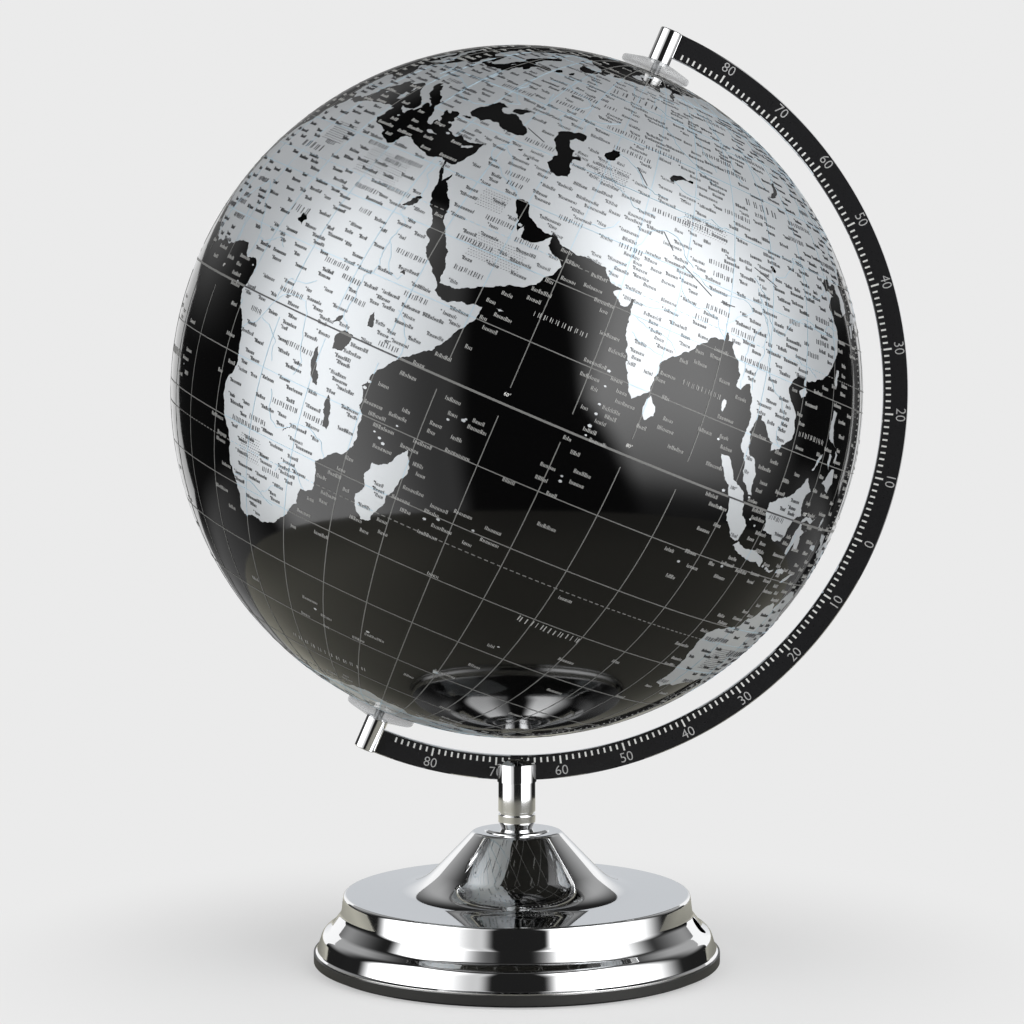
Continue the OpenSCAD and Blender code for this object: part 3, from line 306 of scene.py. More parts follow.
def is_land(points):
    """Which [longitude, latitude] points are dry land."""
    points = np.asarray(points, float)
    dry = np.zeros(len(points), bool)
    for pole in (1, -1):
        here = np.where(points[:, 1] * pole >= 0)[0]
        spots = flat_map(points[here], pole)
        for value, plane in coast_planes[pole]:
            dry[here[inside(spots, plane)]] = value
    return dry


def on_globe(points, lift=0.0):
    """Where [longitude, latitude] points are in space, lifted off the globe's skin."""
    turn, up = np.radians(points[:, 0] - arc_meridian), np.radians(points[:, 1])
    way = ((np.cos(up) * np.cos(turn))[:, None] * level + (np.cos(up) * np.sin(turn))[:, None] * side
           + np.sin(up)[:, None] * north)
    return centre + way * (globe_r + lift)


def lon_lat(spots, pole):
    """The inverse of flat_map."""
    out = np.hypot(spots[:, 0], spots[:, 1])
    return np.stack([np.degrees(np.arctan2(spots[:, 1], spots[:, 0])), pole * (90 - out)], 1)


def ring(out, count):
    """Points round the pole on the plane, out degrees from it."""
    turn = np.arange(count) * 2 * math.pi / count
    return np.stack([out * np.cos(turn), out * np.sin(turn)], 1)


def skin(pole):
    """One half's printed skin: its corners as [longitude, latitude], its triangles, and which are land."""
    spots, edges = [], []
    for shape in land + lakes:
        keep = shape[:, 1] * pole >= 0
        plane = flat_map(shape, pole)
        number = np.full(len(shape), -1)
        for i in np.where(keep)[0]:
            number[i] = len(spots)
            spots.append(plane[i])
        for i in range(len(shape)):
            j = (i + 1) % len(shape)
            if keep[i] and keep[j]:
                edges.append((number[i], number[j]))
    near = kdtree.KDTree(len(spots))
    for i, spot in enumerate(spots):
        near.insert((*spot, 0), i)
    near.balance()
    first = len(spots)
    spots += list(ring(hole_out, hole_turns))
    edges += [(first + i, first + (i + 1) % hole_turns) for i in range(hole_turns)]
    for out in np.arange(skin_step * 2, 90 + skin_step / 2, skin_step):
        at_rim = out > 90 - skin_step / 2
        step = rim_step if at_rim else skin_step
        for spot in ring(out, round(360 * math.sin(math.radians(out)) / step)):
            if at_rim or near.find((*spot, 0))[2] > coast_room:
                spots.append(spot)
    spots = [Vector(spot) for spot in spots]
    corners, _, faces, *_ = geometry.delaunay_2d_cdt(spots, edges, [], 0, join_tolerance)
    corners = np.array([tuple(c) for c in corners])
    faces = np.array([f for f in faces if len(f) == 3])
    middle = corners[faces].mean(1)
    faces = faces[np.hypot(middle[:, 0], middle[:, 1]) > hole_out]
    where = lon_lat(corners, pole)
    return where, faces, is_land(lon_lat(corners[faces].mean(1), pole))


def zipped(outer, inner):
    """Triangles between two closed rings of (angle, number) points."""
    outer, inner = sorted(outer), sorted(inner)
    outer.append((outer[0][0] + 360, outer[0][1]))
    inner.append((inner[0][0] + 360, inner[0][1]))
    i = j = 0
    made = []
    while i < len(outer) - 1 or j < len(inner) - 1:
        if j == len(inner) - 1 or (i < len(outer) - 1 and outer[i + 1][0] <= inner[j + 1][0]):
            made.append((outer[i][1], outer[i + 1][1], inner[j][1]))
            i += 1
        else:
            made.append((outer[i][1], inner[j + 1][1], inner[j][1]))
            j += 1
    return made


def mesh_piece(name, points, faces, slots, materials, smooth=False):
    """A new object of those faces, each with its material's number."""
    mesh = bpy.data.meshes.new(name)
    mesh.from_pydata([tuple(p) for p in points], [], [tuple(f) for f in faces])
    for material in materials:
        mesh.materials.append(material)
    mesh.polygons.foreach_set("material_index", slots)
    mesh.polygons.foreach_set("use_smooth", [smooth] * len(mesh.polygons))
    return placed(name, mesh)


def square_to(corner):
    """The way square to each triangle, from its three corners."""
    return np.cross(corner[:, 1] - corner[:, 0], corner[:, 2] - corner[:, 0])


def half_shell(name, pole, materials):
    """A half shell with its printed skin, its inner wall, its rim and the hole at its pole."""
    where, outer, dry = skin(pole)
    depths = [hole_out * globe_r / (globe_r - shell_t)] + list(range(wall_step, 91, wall_step))
    wall = np.concatenate([lon_lat(ring(out, wall_turns), pole) for out in depths])
    points = np.concatenate([on_globe(where), on_globe(wall, -shell_t)])
    first = len(where)
    inner = []
    for row in range(len(depths) - 1):
        for i in range(wall_turns):
            a, b = (first + row * wall_turns + k % wall_turns for k in (i, i + 1))
            inner += [(a, b, b + wall_turns), (a, b + wall_turns, a + wall_turns)]
    out = 90 - pole * where[:, 1]
    rims = []
    for at, row in ((90, len(depths) - 1), (hole_out, 0)):
        edge = [(where[i, 0] % 360, i) for i in np.where(abs(out - at) < edge_within)[0]]
        rims += zipped(edge, [(wall[i, 0] % 360, first + i)
                              for i in range(row * wall_turns, (row + 1) * wall_turns)])
    faces = np.array(outer.tolist() + inner + rims)
    kind = np.repeat([0, 1, 2], [len(outer), len(inner), len(rims)])
    corner = points[faces]
    outwards = corner.mean(1) - centre
    outwards /= np.linalg.norm(outwards, axis=1)[:, None]
    rim_at_pole = (outwards @ north) * pole > 0.5
    wanted = outwards.copy()
    wanted[kind == 1] *= -1
    wanted[kind == 2] = -pole * north
    axle_side = corner.mean(1) - centre - ((corner.mean(1) - centre) @ north)[:, None] * north
    wanted[(kind == 2) & rim_at_pole] = -axle_side[(kind == 2) & rim_at_pole]
    turned = (square_to(corner) * wanted).sum(1) < 0
    faces[turned] = faces[turned][:, ::-1]
    slots = np.concatenate([dry.astype(int), np.full(len(inner) + len(rims), 2)])
    shell = mesh_piece(name, points.tolist(), faces.tolist(), slots, materials, True)
    flat = square_to(points[faces])
    flat /= np.maximum(np.linalg.norm(flat, axis=1), 1e-12)[:, None]
    radial = points[faces] - centre
    radial /= np.linalg.norm(radial, axis=2)[..., None]
    normals = np.where((kind == 2)[:, None, None], flat[:, None, :], radial)
    normals[kind == 1] *= -1
    shell.data.normals_split_custom_set(normals.reshape(-1, 3).tolist())
    return shell


class Wire:
    """One link in a shader. +, * and a number minus a link add Math nodes, and node() adds any other."""

    def __init__(self, tree, socket=None):
        self.tree, self.socket = tree, socket

    def node(self, kind, settings=None, sockets=None, out=0):
        made = self.tree.nodes.new(kind)
        for name, value in (settings or {}).items():
            setattr(made, name, value)
        for name, value in (sockets or {}).items():
            if isinstance(value, Wire):
                self.tree.links.new(value.socket, made.inputs[name])
            else:
                made.inputs[name].default_value = value
        return Wire(self.tree, made.outputs[out])

    def maths(self, job, a, b=0.0):
        return self.node("ShaderNodeMath", {"operation": job}, {0: a, 1: b})

    def __add__(self, other):
        return self.maths("ADD", self, other)

    def __mul__(self, other):
        return self.maths("MULTIPLY", self, other)

    def __rsub__(self, other):
        return self.maths("SUBTRACT", other, self)

    def noise(self, scale, detail=3.0):
        return self.node("ShaderNodeTexNoise", {}, {"Vector": self, "Scale": scale, "Detail": detail})

    def spread(self, low, high):
        """A number between 0 and 1 taken to the range from low to high."""
        return self * (high - low) + low

    def blend(self, dark, light):
        """A colour between dark and light, by this number."""
        return self.node("ShaderNodeMix", {"data_type": "RGBA"},
                         {0: self, 6: (*dark, 1), 7: (*light, 1)}, 2)

    def bump(self, strength, distance):
        return self.node("ShaderNodeBump", {}, {"Strength": strength, "Distance": distance, "Height": self})

    def ramp(self, low, high, start=0.0, end=1.0):
        """A smooth change from start to end as this number goes from low to high."""
        return self.node("ShaderNodeMapRange", {"interpolation_type": "SMOOTHSTEP"},
                         {"Value": self, "From Min": low, "From Max": high, "To Min": start, "To Max": end})


def new_finish(name):
    """A new material, with a Wire that carries the piece's own coordinates in metres."""
    material = bpy.data.materials.new(name)
    material.use_nodes = True
    return material, Wire(material.node_tree).node("ShaderNodeTexCoord", out="Object")


def set_finish(material, **sockets):
    """Sets the Principled shader's sockets, written with _ for a space."""
    shader = material.node_tree.nodes["Principled BSDF"]
    for name, value in sockets.items():
        socket = shader.inputs[name.replace("_", " ")]
        if isinstance(value, Wire):
            material.node_tree.links.new(value.socket, socket)
        else:
            socket.default_value = value
    return material


sea_black, place = new_finish("sea_black_varnish")
haze = place.noise(9)
set_finish(sea_black, Base_Color=haze.blend((0.0010, 0.0010, 0.0011), (0.0020, 0.0020, 0.0021)),
           Roughness=haze.spread(0.05, 0.09), IOR=1.5,
           Normal=place.noise(900, 2).bump(0.05, 0.00002))

land_silver, place = new_finish("land_silver_foil")
flake, cloud = place.noise(5200, 1), place.noise(22, 4)
set_finish(land_silver, Base_Color=cloud.blend((0.47, 0.49, 0.508), (0.535, 0.557, 0.575)),
           Metallic=0.53, Roughness=(flake + cloud).spread(0.34, 0.46), IOR=1.5, Coat_Weight=0.35,
           Coat_Roughness=0.12, Normal=flake.bump(0.12, 0.00003))

moulded_white, place = new_finish("moulded_white_plastic")
set_finish(moulded_white, Base_Color=place.noise(60).blend((0.74, 0.73, 0.70), (0.80, 0.79, 0.77)),
           Roughness=0.5, Normal=place.noise(700).bump(0.2, 0.00005))

for shell_name, pole in (("globe_north_shell", 1), ("globe_south_shell", -1)):
    shell = half_shell("printed_" + shell_name[6:], pole, [sea_black, land_silver, moulded_white])
    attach(shell, "globe")
    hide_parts(shell_name)

# ---- Printed lines ----
# The grid of degrees, the equator, the dashed circles and the rivers are screen printed over the map in
# thin, slightly raised ink. A line changes its ink where it passes from sea to land.
ink_lift, ink_sink = 0.00007, 0.00008


def ink(name, colour, metal=0.0):
    """A printed ink, a little uneven in its tone and its gloss."""
    material, place = new_finish(name)
    shade = place.noise(260, 2)
    return set_finish(material, Base_Color=shade.blend([c * 0.9 for c in colour], colour), Metallic=metal,
                      Roughness=shade.spread(0.35, 0.47), IOR=1.5)


sea_line_ink = ink("sea_line_ink", (0.145, 0.145, 0.14))
sea_label_ink = ink("sea_label_ink", (0.34, 0.34, 0.33))
land_line_ink = ink("land_line_ink", (0.40, 0.54, 0.63), 0.4)
white_ink = ink("white_ink", (0.72, 0.72, 0.70))
dark_ink = ink("dark_ink", (0.030, 0.031, 0.034))
grey_ink = ink("grey_ink", (0.045, 0.045, 0.05))


def ink_strips(name, strips, materials):
    """Raised strips of ink along [longitude, latitude] paths, each with its width and its ink's number."""
    points, faces, slots, first = [], [], [], 0
    for path, width, slot in strips:
        spots = on_globe(path)
        up = (spots - centre) / globe_r
        left = np.cross(up, np.gradient(spots, axis=0))
        left *= width / 2 / np.linalg.norm(left, axis=1)[:, None]
        top, low = spots + up * ink_lift, spots - up * ink_sink
        points.append(np.stack([top + left, top - left, low - left, low + left], 1).reshape(-1, 3))
        count = len(path)
        row = first + 4 * np.arange(count - 1)[:, None]
        for a, b in ((0, 1), (1, 2), (2, 3), (3, 0)):
            faces += np.hstack([row + a, row + b, row + b + 4, row + a + 4]).tolist()
        end = first + 4 * (count - 1)
        faces += [[first + 3, first + 2, first + 1, first], [end, end + 1, end + 2, end + 3]]
        slots += [slot] * (4 * (count - 1) + 2)
        first += 4 * count
    return mesh_piece(name, np.concatenate(points), faces, slots, materials)


def split_by_coast(lines, step=2.0):
    """Cuts finely stepped lines where they cross a coast, and thins each stretch to longer steps. A line is
    its path, its width and the numbers of its inks on the sea and on the land, or None for no ink. The
    enclosed seas of the old world carry no lines."""
    middles = [(path[1:] + path[:-1]) / 2 for path, *_ in lines]
    dry_parts = np.split(is_land(np.concatenate(middles)), np.cumsum([len(m) for m in middles])[:-1])
    strips = []
    for (path, width, sea_slot, land_slot), dry in zip(lines, dry_parts):
        cuts = [0, *(np.where(dry[1:] != dry[:-1])[0] + 1), len(dry)]
        for a, b in zip(cuts, cuts[1:]):
            slot = land_slot if dry[a] else sea_slot
            count = max(2, int(np.abs(path[b] - path[a]).max() / step) + 2)
            pick = np.unique(np.linspace(a, b, count).round().astype(int))
            lon, lat = path[(a + b) // 2]
            enclosed = not dry[a] and 12 < lon < 66 and 31 < lat < 48
            if slot is not None and not enclosed and len(pick) > 1:
                strips.append((path[pick], width * (land_share if dry[a] else 1), slot))
    return strips


def along(lon_a, lon_b, lat_a, lat_b):
    """A straight line on the map, finely stepped."""
    count = int(max(abs(lon_b - lon_a), abs(lat_b - lat_a)) / fine_step) + 2
    return np.stack([np.linspace(lon_a, lon_b, count), np.linspace(lat_a, lat_b, count)], 1)


# A meridian stops short of the equator, to leave room for its number, and short of the poles.
grid_w, equator_w, land_share, fine_step = 0.00040, 0.00090, 0.75, 0.2
gap_north, gap_south, meridian_end, dash_length, dash_pitch = 2.6, -1.9, 84, 0.62, 1.7
grid = []
for lon in range(-180, 180, 10):
    grid += [(along(lon, lon, start, end), grid_w, 0, 1)
             for start, end in ((gap_north, meridian_end), (gap_south, -meridian_end))]
for lat in range(-80, 90, 10):
    width, dry_slot = (grid_w, 1) if lat else (equator_w, 2)
    grid.append((along(-180, 180, lat, lat), width, 0, dry_slot))
for lat in (66.56, 23.44, -23.44, -66.56):
    dash = dash_length / math.cos(math.radians(lat))
    grid += [(along(lon, lon + dash, lat, lat), grid_w, 0, 1)
             for lon in np.arange(-180, 180, dash * dash_pitch)]
grid_lines = ink_strips("printed_grid_lines", split_by_coast(grid), [sea_line_ink, land_line_ink, grey_ink])
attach(grid_lines, "globe")

rivers = """
31.2,31.3 31.2,30 30.8,28 32.6,26 32.9,24 31.5,21.8 31,20.5 33.3,19 32.8,17 32.5,15.6 32.6,13 32.8,10
31.5,9.5 31.6,7 31.6,4.8 31.4,2.3 33,0.4 / 32.5,15.6 34.2,13 35.2,11 37,10.6 37.4,11.6 / 12.4,-6 15.3,-4.3
17,-1.5 18.3,0.7 21,2 24,2 25.3,0.3 26,-3 27,-6 26.5,-9 / 17.8,0.6 18.6,4.3 21.5,4.3 24,5.5 / 16.3,-3.2 19,-4
21,-5.5 21.5,-8.5 / 6,4.4 6.8,6.5 6.5,8.5 4.5,10.5 3,12.5 1,15 -1.5,16.8 -4,15 -6,13.3 -8.5,11.8 -10.5,9.6 /
6.8,7.8 9.5,8 12.5,9.3 13.8,8 / -16.4,15.9 -14,16.6 -12,14.6 -11,12.5 / 0.6,5.8 -0.2,8 -1.3,10 -3,11.8 /
36.3,-18.8 33.6,-16.2 30.5,-15.6 28,-17 25.5,-17.8 23.3,-15.5 23,-12.5 / 33.5,-25.2 31,-22.5 28,-22.8
27,-24.5 / 16.5,-28.6 20,-28.5 24,-29.3 27,-30.5 / 24,-29.2 27,-27 29,-26.8 / 42.5,-0.2 42.6,3 41.5,5
39.5,6.5 / 48.5,30 46.5,31.6 44.4,33.3 43,36.3 41,37.5 39.5,38.4 / 47.4,31 44.3,32.4 41,34.5 38.5,36 38.5,38
41,39 / 67.5,24 68.5,26.5 70.5,29 71.3,32 72.5,34.5 75,35.5 79,33.5 81.5,31.2 / 90.3,22.2 88.2,24.8 85,25.6
81.8,25.4 80,27.2 78.2,30 / 90.5,22.4 89.8,25 92,26.5 95.3,28 94.5,29.4 90,29.3 84,29.3 81.5,30.5 / 72.8,21.7
76,22.2 81,22.8 / 82.2,16.6 80,18.7 76.5,19 73.8,20 / 80.9,15.9 78,16.2 75.5,16.5 74,17.5 / 95.2,15.9
95.2,18.5 94.8,21 96,24 97.5,26.5 / 97.6,16.5 97.6,19 98.8,22.5 99,27 97,31 / 106.5,9.8 105,12 106,14
104.8,16.5 102.2,18 100.5,20.5 99.8,24 98.8,28 96,32.5 / 121.6,31.6 118.5,31.8 116,29.9 113,30 111,30.8
107,29.8 104.5,28.7 102,26.2 99.5,28 98.3,31 95,34 / 118.8,37.7 115.5,35.8 111,34.8 110.5,38 110.8,40.3
107,40.7 106.2,38.5 104,36.5 101,36 99,34.3 / 113.4,22.4 110.5,23.5 106.5,24.5 / 141.2,53 137.5,50.5 135,48.4
131,47.7 127.5,50 124,53 120,53 116,50 / 127,72 123.5,67 129.5,62.5 124,60.5 117,60 111.5,58 107,55 /
129.5,63.3 135,62 133,59 126,58 / 82.5,71.5 86.5,67 89,63 91,60 92.5,56.5 92,53 94.5,51.8 / 92,58.2 97,58.3
102,56 104,53 / 73,66.7 66,65.5 65.5,62.5 70,61.2 76,60.5 82,57.5 84,53.5 86,51.5 / 69,61 68.5,58.2 73.5,55
77,52.2 82.5,49.5 86,48 / 48,46 45,48.5 46.5,51.5 49,54.5 47,56 43.5,56.5 39,58 34,57 / 51.8,47.2 51.5,50.5
55,51.5 58.5,53 / 39.3,47.2 42.5,48.2 40.5,50.5 38.8,53.5 / 32.5,46.6 35,47.8 32,49.5 30.6,51.5 30.5,54.5 /
29.7,45.2 27,44.2 23,43.9 20.5,45 18.9,47.5 16,48.2 12,48.9 9,48 / 4.3,52 6.8,51 8.3,49.5 7.7,47.7 / 19,54.3
21,52 19.5,50 / 40.5,64.5 43,62.5 46,61 / 54,68 57,65.5 58.5,62.5 / 61.2,46 65,44.8 68,42 71,41 74,41.2 /
59,43.8 61.5,41 64.5,38.8 68,37 72,37 / 74.5,45.3 77,44 81,43.8 / 88.5,40.5 84,41 80.5,40.2 76.5,38.5 /
61.5,31 64,31 66,33.5 / 161,69.5 156,67.5 151,64.5 / 149.5,71 146,67.5 143.5,64.5 / -50,0 -55,-2.3 -60,-3.2
-65,-3 -70,-4 -73.5,-4.5 -75,-9 / -58.8,-3.4 -63,-8 -65.5,-11 / -60,-3.1 -64,-0.5 -67,1.5 / -58.5,-34
-60,-31.5 -58.8,-27.3 -54.5,-25.5 -51,-20 / -58.7,-27.2 -57.7,-23 -57.7,-18 / -61,8.8 -66,7.8 -67.5,4 /
-36.4,-10.4 -41,-9 -44,-15 / -89.5,29.3 -91,32 -89.5,37 -91,41 -93,45 -95,47 / -90.2,38.8 -95,39.5 -97,43
-101,47 -107,48 -111,47 / -89,37 -85,38.5 -80,40.5 / -114.8,32 -114,35 -110,38.5 / -124,46.2 -119,46 -118,49
/ -97.2,26 -101,29.5 -106,32 / -135,69 -130,66 -123.5,62 -117,61 / -164,62.5 -158,64 -148,65.5 -140,64
-135,62 / -65,49 -71,46.9 -76,44.4 / 139,-35.4 141.5,-34 145,-36 / 142,-34 144,-31 149,-29.5
"""
river_w, range_w, river_step = 0.00036, 0.00050, 0.5
river_rng = random.Random(5)
streams = []
for line in loops(rivers):
    path = [p for a, b in zip(line, line[1:]) for p in shore(a, b, river_rng)] + [line[-1]]
    streams.append((np.array(path), river_w, None, 0))
# The great mountain ranges are dark lines.
for lon_a, lat_a, lon_b, lat_b in ((74.5, 35, 77, 32.5), (79.5, 30.8, 86, 27.9), (88, 27.6, 91, 27.8),
                                   (66, 44.8, 69, 42), (95, 35.8, 101, 34.2), (41, 43.4, 46, 41.9)):
    streams.append((along(lon_a, lon_b, lat_a, lat_b), range_w, None, 1))
river_lines = ink_strips("printed_rivers", split_by_coast(streams, river_step), [land_line_ink, grey_ink])
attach(river_lines, "globe")

# ---- Printed marks ----
# Rows of small upright strokes stand where such a map carries its place names, dark on the land and white
# on the sea, most with a dot for the town. A stroke is a raised block of ink, set by Geometry Nodes.


def build_mark_printer():
    """Puts a block on every point: its size, the way it faces and the way its width runs are attributes."""
    tree = bpy.data.node_groups.new("mark_printer", "GeometryNodeTree")
    for name, way, kind in (("Points", "INPUT", "Geometry"), ("Thickness", "INPUT", "Float"),
                            ("Ink", "INPUT", "Material"), ("Print", "OUTPUT", "Geometry")):
        tree.interface.new_socket(name, in_out=way, socket_type="NodeSocket" + kind)
    new, link = tree.nodes.new, tree.links.new
    source, result = new("NodeGroupInput"), new("NodeGroupOutput")
    named = {}
    for name in ("facing", "across", "extent"):
        named[name] = new("GeometryNodeInputNamedAttribute")
        named[name].data_type = "FLOAT_VECTOR"
        named[name].inputs["Name"].default_value = name
    block, place_all = new("GeometryNodeMeshCube"), new("GeometryNodeInstanceOnPoints")
    axes, size = new("FunctionNodeAxesToRotation"), new("ShaderNodeCombineXYZ")
    split, realize, paint = (new("ShaderNodeSeparateXYZ"), new("GeometryNodeRealizeInstances"),
                             new("GeometryNodeSetMaterial"))
    axes.primary_axis, axes.secondary_axis = "Z", "X"
    block.inputs["Size"].default_value = (1, 1, 1)
    for start, out, end, into in ((source, "Points", place_all, "Points"),
                                  (block, "Mesh", place_all, "Instance"),
                                  (named["facing"], "Attribute", axes, "Primary Axis"),
                                  (named["across"], "Attribute", axes, "Secondary Axis"),
                                  (axes, "Rotation", place_all, "Rotation"), (split, "X", size, "X"),
                                  (named["extent"], "Attribute", split, 0), (split, "Y", size, "Y"),
                                  (source, "Thickness", size, "Z"), (size, 0, place_all, "Scale"),
                                  (place_all, 0, realize, 0), (realize, 0, paint, "Geometry"),
                                  (source, "Ink", paint, "Material"), (paint, 0, result, "Print")):
        link(start.outputs[out], end.inputs[into])
    return tree


mark_printer = build_mark_printer()


def print_marks(name, marks, thickness, material):
    """One mesh of printed blocks from (place, facing, across, width, height) marks."""
    mesh = bpy.data.meshes.new(name + "_points")
    mesh.from_pydata([tuple(m[0]) for m in marks], [], [])
    columns = {"facing": [m[1] for m in marks], "across": [m[2] for m in marks],
               "extent": [(m[3], m[4], 1) for m in marks]}
    for title, values in columns.items():
        attribute = mesh.attributes.new(title, "FLOAT_VECTOR", "POINT")
        attribute.data.foreach_set("vector", np.array(values, float).ravel())
    source = placed(name + "_points", mesh)
    modifier = source.modifiers.new("print", "NODES")
    modifier.node_group = mark_printer
    inputs = {"Thickness": thickness, "Ink": material}
    for item in mark_printer.interface.items_tree:
        if item.name in inputs:
            modifier[item.identifier] = inputs[item.name]
    evaluated = source.evaluated_get(bpy.context.evaluated_depsgraph_get())
    printed = bpy.data.meshes.new_from_object(evaluated)
    bpy.data.objects.remove(source)
    printed.name = name
    return placed(name, printed)


def frame_at(lon, lat):
    """A place on the globe, its outward way, and its ways east and north."""
    place = on_globe(np.array([[lon, lat]]))[0]
    up = (place - centre) / globe_r
    east = np.cross(north, up)
    east /= np.linalg.norm(east)
    return place, up, east, np.cross(up, east)


# A word's strokes, as shares of its height: how many letters are tall, the heights, the widths and the gaps.
label_rng = random.Random(23)
tall_letters, small_tall, capital_tall = 0.2, (0.66, 0.74), (0.82, 1)
small_thick, small_gap, capital_thick, capital_gap = (0.13, 0.17), (0.13, 0.19), (0.09, 0.16), (0.2, 0.36)


def word(lon, lat, tall, letters, marks, capitals=False, spacing=0.09):
    """A row of upright strokes centred on a place, one or two to a letter, like a word too small to read.
    Capitals are evenly tall and wider apart."""
    place, up, east, upright = frame_at(lon, lat)
    strokes, at = [], 0.0
    for letter in range(letters):
        is_tall = letter == 0 or label_rng.random() < tall_letters
        high = 1.0 if is_tall else label_rng.uniform(*small_tall)
        for _ in range(label_rng.choice((1, 2, 2))):
            thick, gap = label_rng.uniform(*small_thick), label_rng.uniform(*small_gap)
            if capitals:
                high, thick = label_rng.uniform(*capital_tall), label_rng.choice(capital_thick)
            low = (high - 1) / 2 * label_rng.choice((-1, 1) if capitals else (1,))
            strokes.append((at + thick / 2, low, thick, high))
            if capitals:
                gap = label_rng.uniform(*capital_gap)
            at += thick + gap
        at += spacing
    for along_word, low, thick, high in strokes:
        spot = place + (east * (along_word - at / 2) + upright * low) * tall - centre
        way = spot / np.linalg.norm(spot)
        marks.append((centre + way * globe_r, way, east, thick * tall, high * tall))


def dot(lon, lat, wide, marks):
    """The square dot of a town."""
    place, up, east, _ = frame_at(lon, lat)
    marks.append((place, up, east, wide, wide))


degree_per_mm = math.degrees(0.001 / globe_r)
coast_tree = kdtree.KDTree(sum(len(shape) for shape in land))
for i, spot in enumerate(on_globe(np.concatenate(land))):
    coast_tree.insert(spot, i)
coast_tree.balance()
taken = []


def claim(lon, lat, wide, tall, room=(0, 0)):
    """Takes a label's place if none of those set before is in the way. Its size and the room round it are in
    degrees of arc."""
    wide, tall = wide + room[0], tall + room[1]
    if taken:
        others = np.array(taken)
        off = np.abs((lon - others[:, 0] + 180) % 360 - 180) * math.cos(math.radians(lat))
        level_with = np.abs(lat - others[:, 1]) < (tall + others[:, 3]) / 2
        if (level_with & (off < (wide + others[:, 2]) / 2)).any():
            return False
    taken.append((lon, lat, wide, tall))
    return True


def crowding(lon, lat):
    """The share of the towns that is kept: most in Europe and the east, few in the far north and south."""
    if 34 < lat < 62 and -12 < lon < 80 or 48 < lat < 70 and 30 < lon < 140:
        return 1.0
    if 5 < lat < 50 and 66 < lon < 130:
        return 0.95
    return 0.12 if lat > 68 or lat < -62 else 0.5


# The great names are set first, then the countries, then the towns with the small seas, most of which are
# close to a coast. town_dots is the share of the towns with a dot, which is dot_off degrees before the
# name and above its middle. The great names' room is in millimetres.
towns_tall, countries_tall, seas_tall, letter_w, capital_w = 0.00155, 0.0022, 0.0016, 0.6, 1.1
great_spacing, country_spacing, town_dots, dot_w, dot_off = 0.4, 0.17, 0.6, 0.0005, 0.2
north_seas, south_seas, far_seas, coast_reach, south_lat = 0.65, 0.2, 0.01, 0.008, -30
great_room, country_room, town_room, sea_room = (1, 0.8), (0.7, 0.3), (0.4, 0.2), (0.8, 0.5)
west_marks, east_marks, country_marks, sea_marks, west_end, divide = [], [], [], [], -170, 55
great_names = ((2, 25, 3.4, 5), (13, 14.5, 3.4, 4), (60, 62, 3.6, 6), (100, 48, 3.6, 5), (-100, 46, 3.6, 8),
               (-55, -12, 3.6, 6), (134, -25, 3.4, 8), (0, -83, 3.4, 8))
sea_names = ((63.5, 14.2, 2.1, 10), (88.5, 13.5, 2.1, 9), (84, -31, 2.9, 11),
             (-32, 33, 3.2, 10), (-15, -15, 3.2, 10), (-150, 22, 3.4, 10), (-125, -22, 3.4, 10),
             (165, 28, 3.4, 10), (40, -58, 2.8, 12), (-30, -60, 2.8, 12), (115, 13, 2.2, 9),
             (-68, 17, 2.2, 10), (0, 84, 2.4, 8))
for names, marks in ((great_names, country_marks), (sea_names, sea_marks)):
    for lon, lat, tall_mm, letters in names:
        wide, high = letters * capital_w * tall_mm + great_room[0], tall_mm + great_room[1]
        claim(lon, lat, wide * degree_per_mm, high * degree_per_mm)
        word(lon, lat, tall_mm / 1000, letters, marks, True, great_spacing)
for tries, tall, limit in ((1500, countries_tall, 150), (24000, towns_tall, 2700)):
    spots = [(label_rng.uniform(-180, 180), math.degrees(math.asin(label_rng.uniform(-0.99, 0.99))),
              label_rng.randint(4, 9)) for _ in range(tries)]
    parts = (-1.15, -0.5, 0, 0.5, 1.15)
    ends = [(lon + part * letters * letter_w * tall * 1000 * degree_per_mm
             / math.cos(math.radians(lat)) / 2, lat) for lon, lat, letters in spots for part in parts]
    dry_parts = is_land(ends).reshape(-1, len(parts))
    count = 0
    for (lon, lat, letters), dry in zip(spots, dry_parts):
        wide, high = letters * letter_w * tall * 1000 * degree_per_mm, tall * 1000 * degree_per_mm
        chance = label_rng.random()
        if dry.all() and count < limit:
            if tall == countries_tall and claim(lon, lat, wide, high, country_room):
                word(lon, lat, tall, letters, country_marks, True, country_spacing)
                count += 1
            elif (tall == towns_tall and chance < crowding(lon, lat)
                  and claim(lon, lat, wide, high, town_room)):
                marks = west_marks if west_end < lon < divide else east_marks
                word(lon, lat, tall, letters, marks)
                if chance < town_dots:
                    dot_lon = lon - (wide / 2 + dot_off) / math.cos(math.radians(lat))
                    dot(dot_lon, lat + dot_off, dot_w, marks)
                count += 1
        elif (tall == towns_tall and not dry.any()
              and chance < (north_seas if lat > south_lat else south_seas)):
            coast_off = coast_tree.find(on_globe(np.array([[lon, lat]]))[0])[2]
            if (coast_off < coast_reach or chance < far_seas) and claim(lon, lat, wide, high, sea_room):
                word(lon, lat, seas_tall, letters, sea_marks)

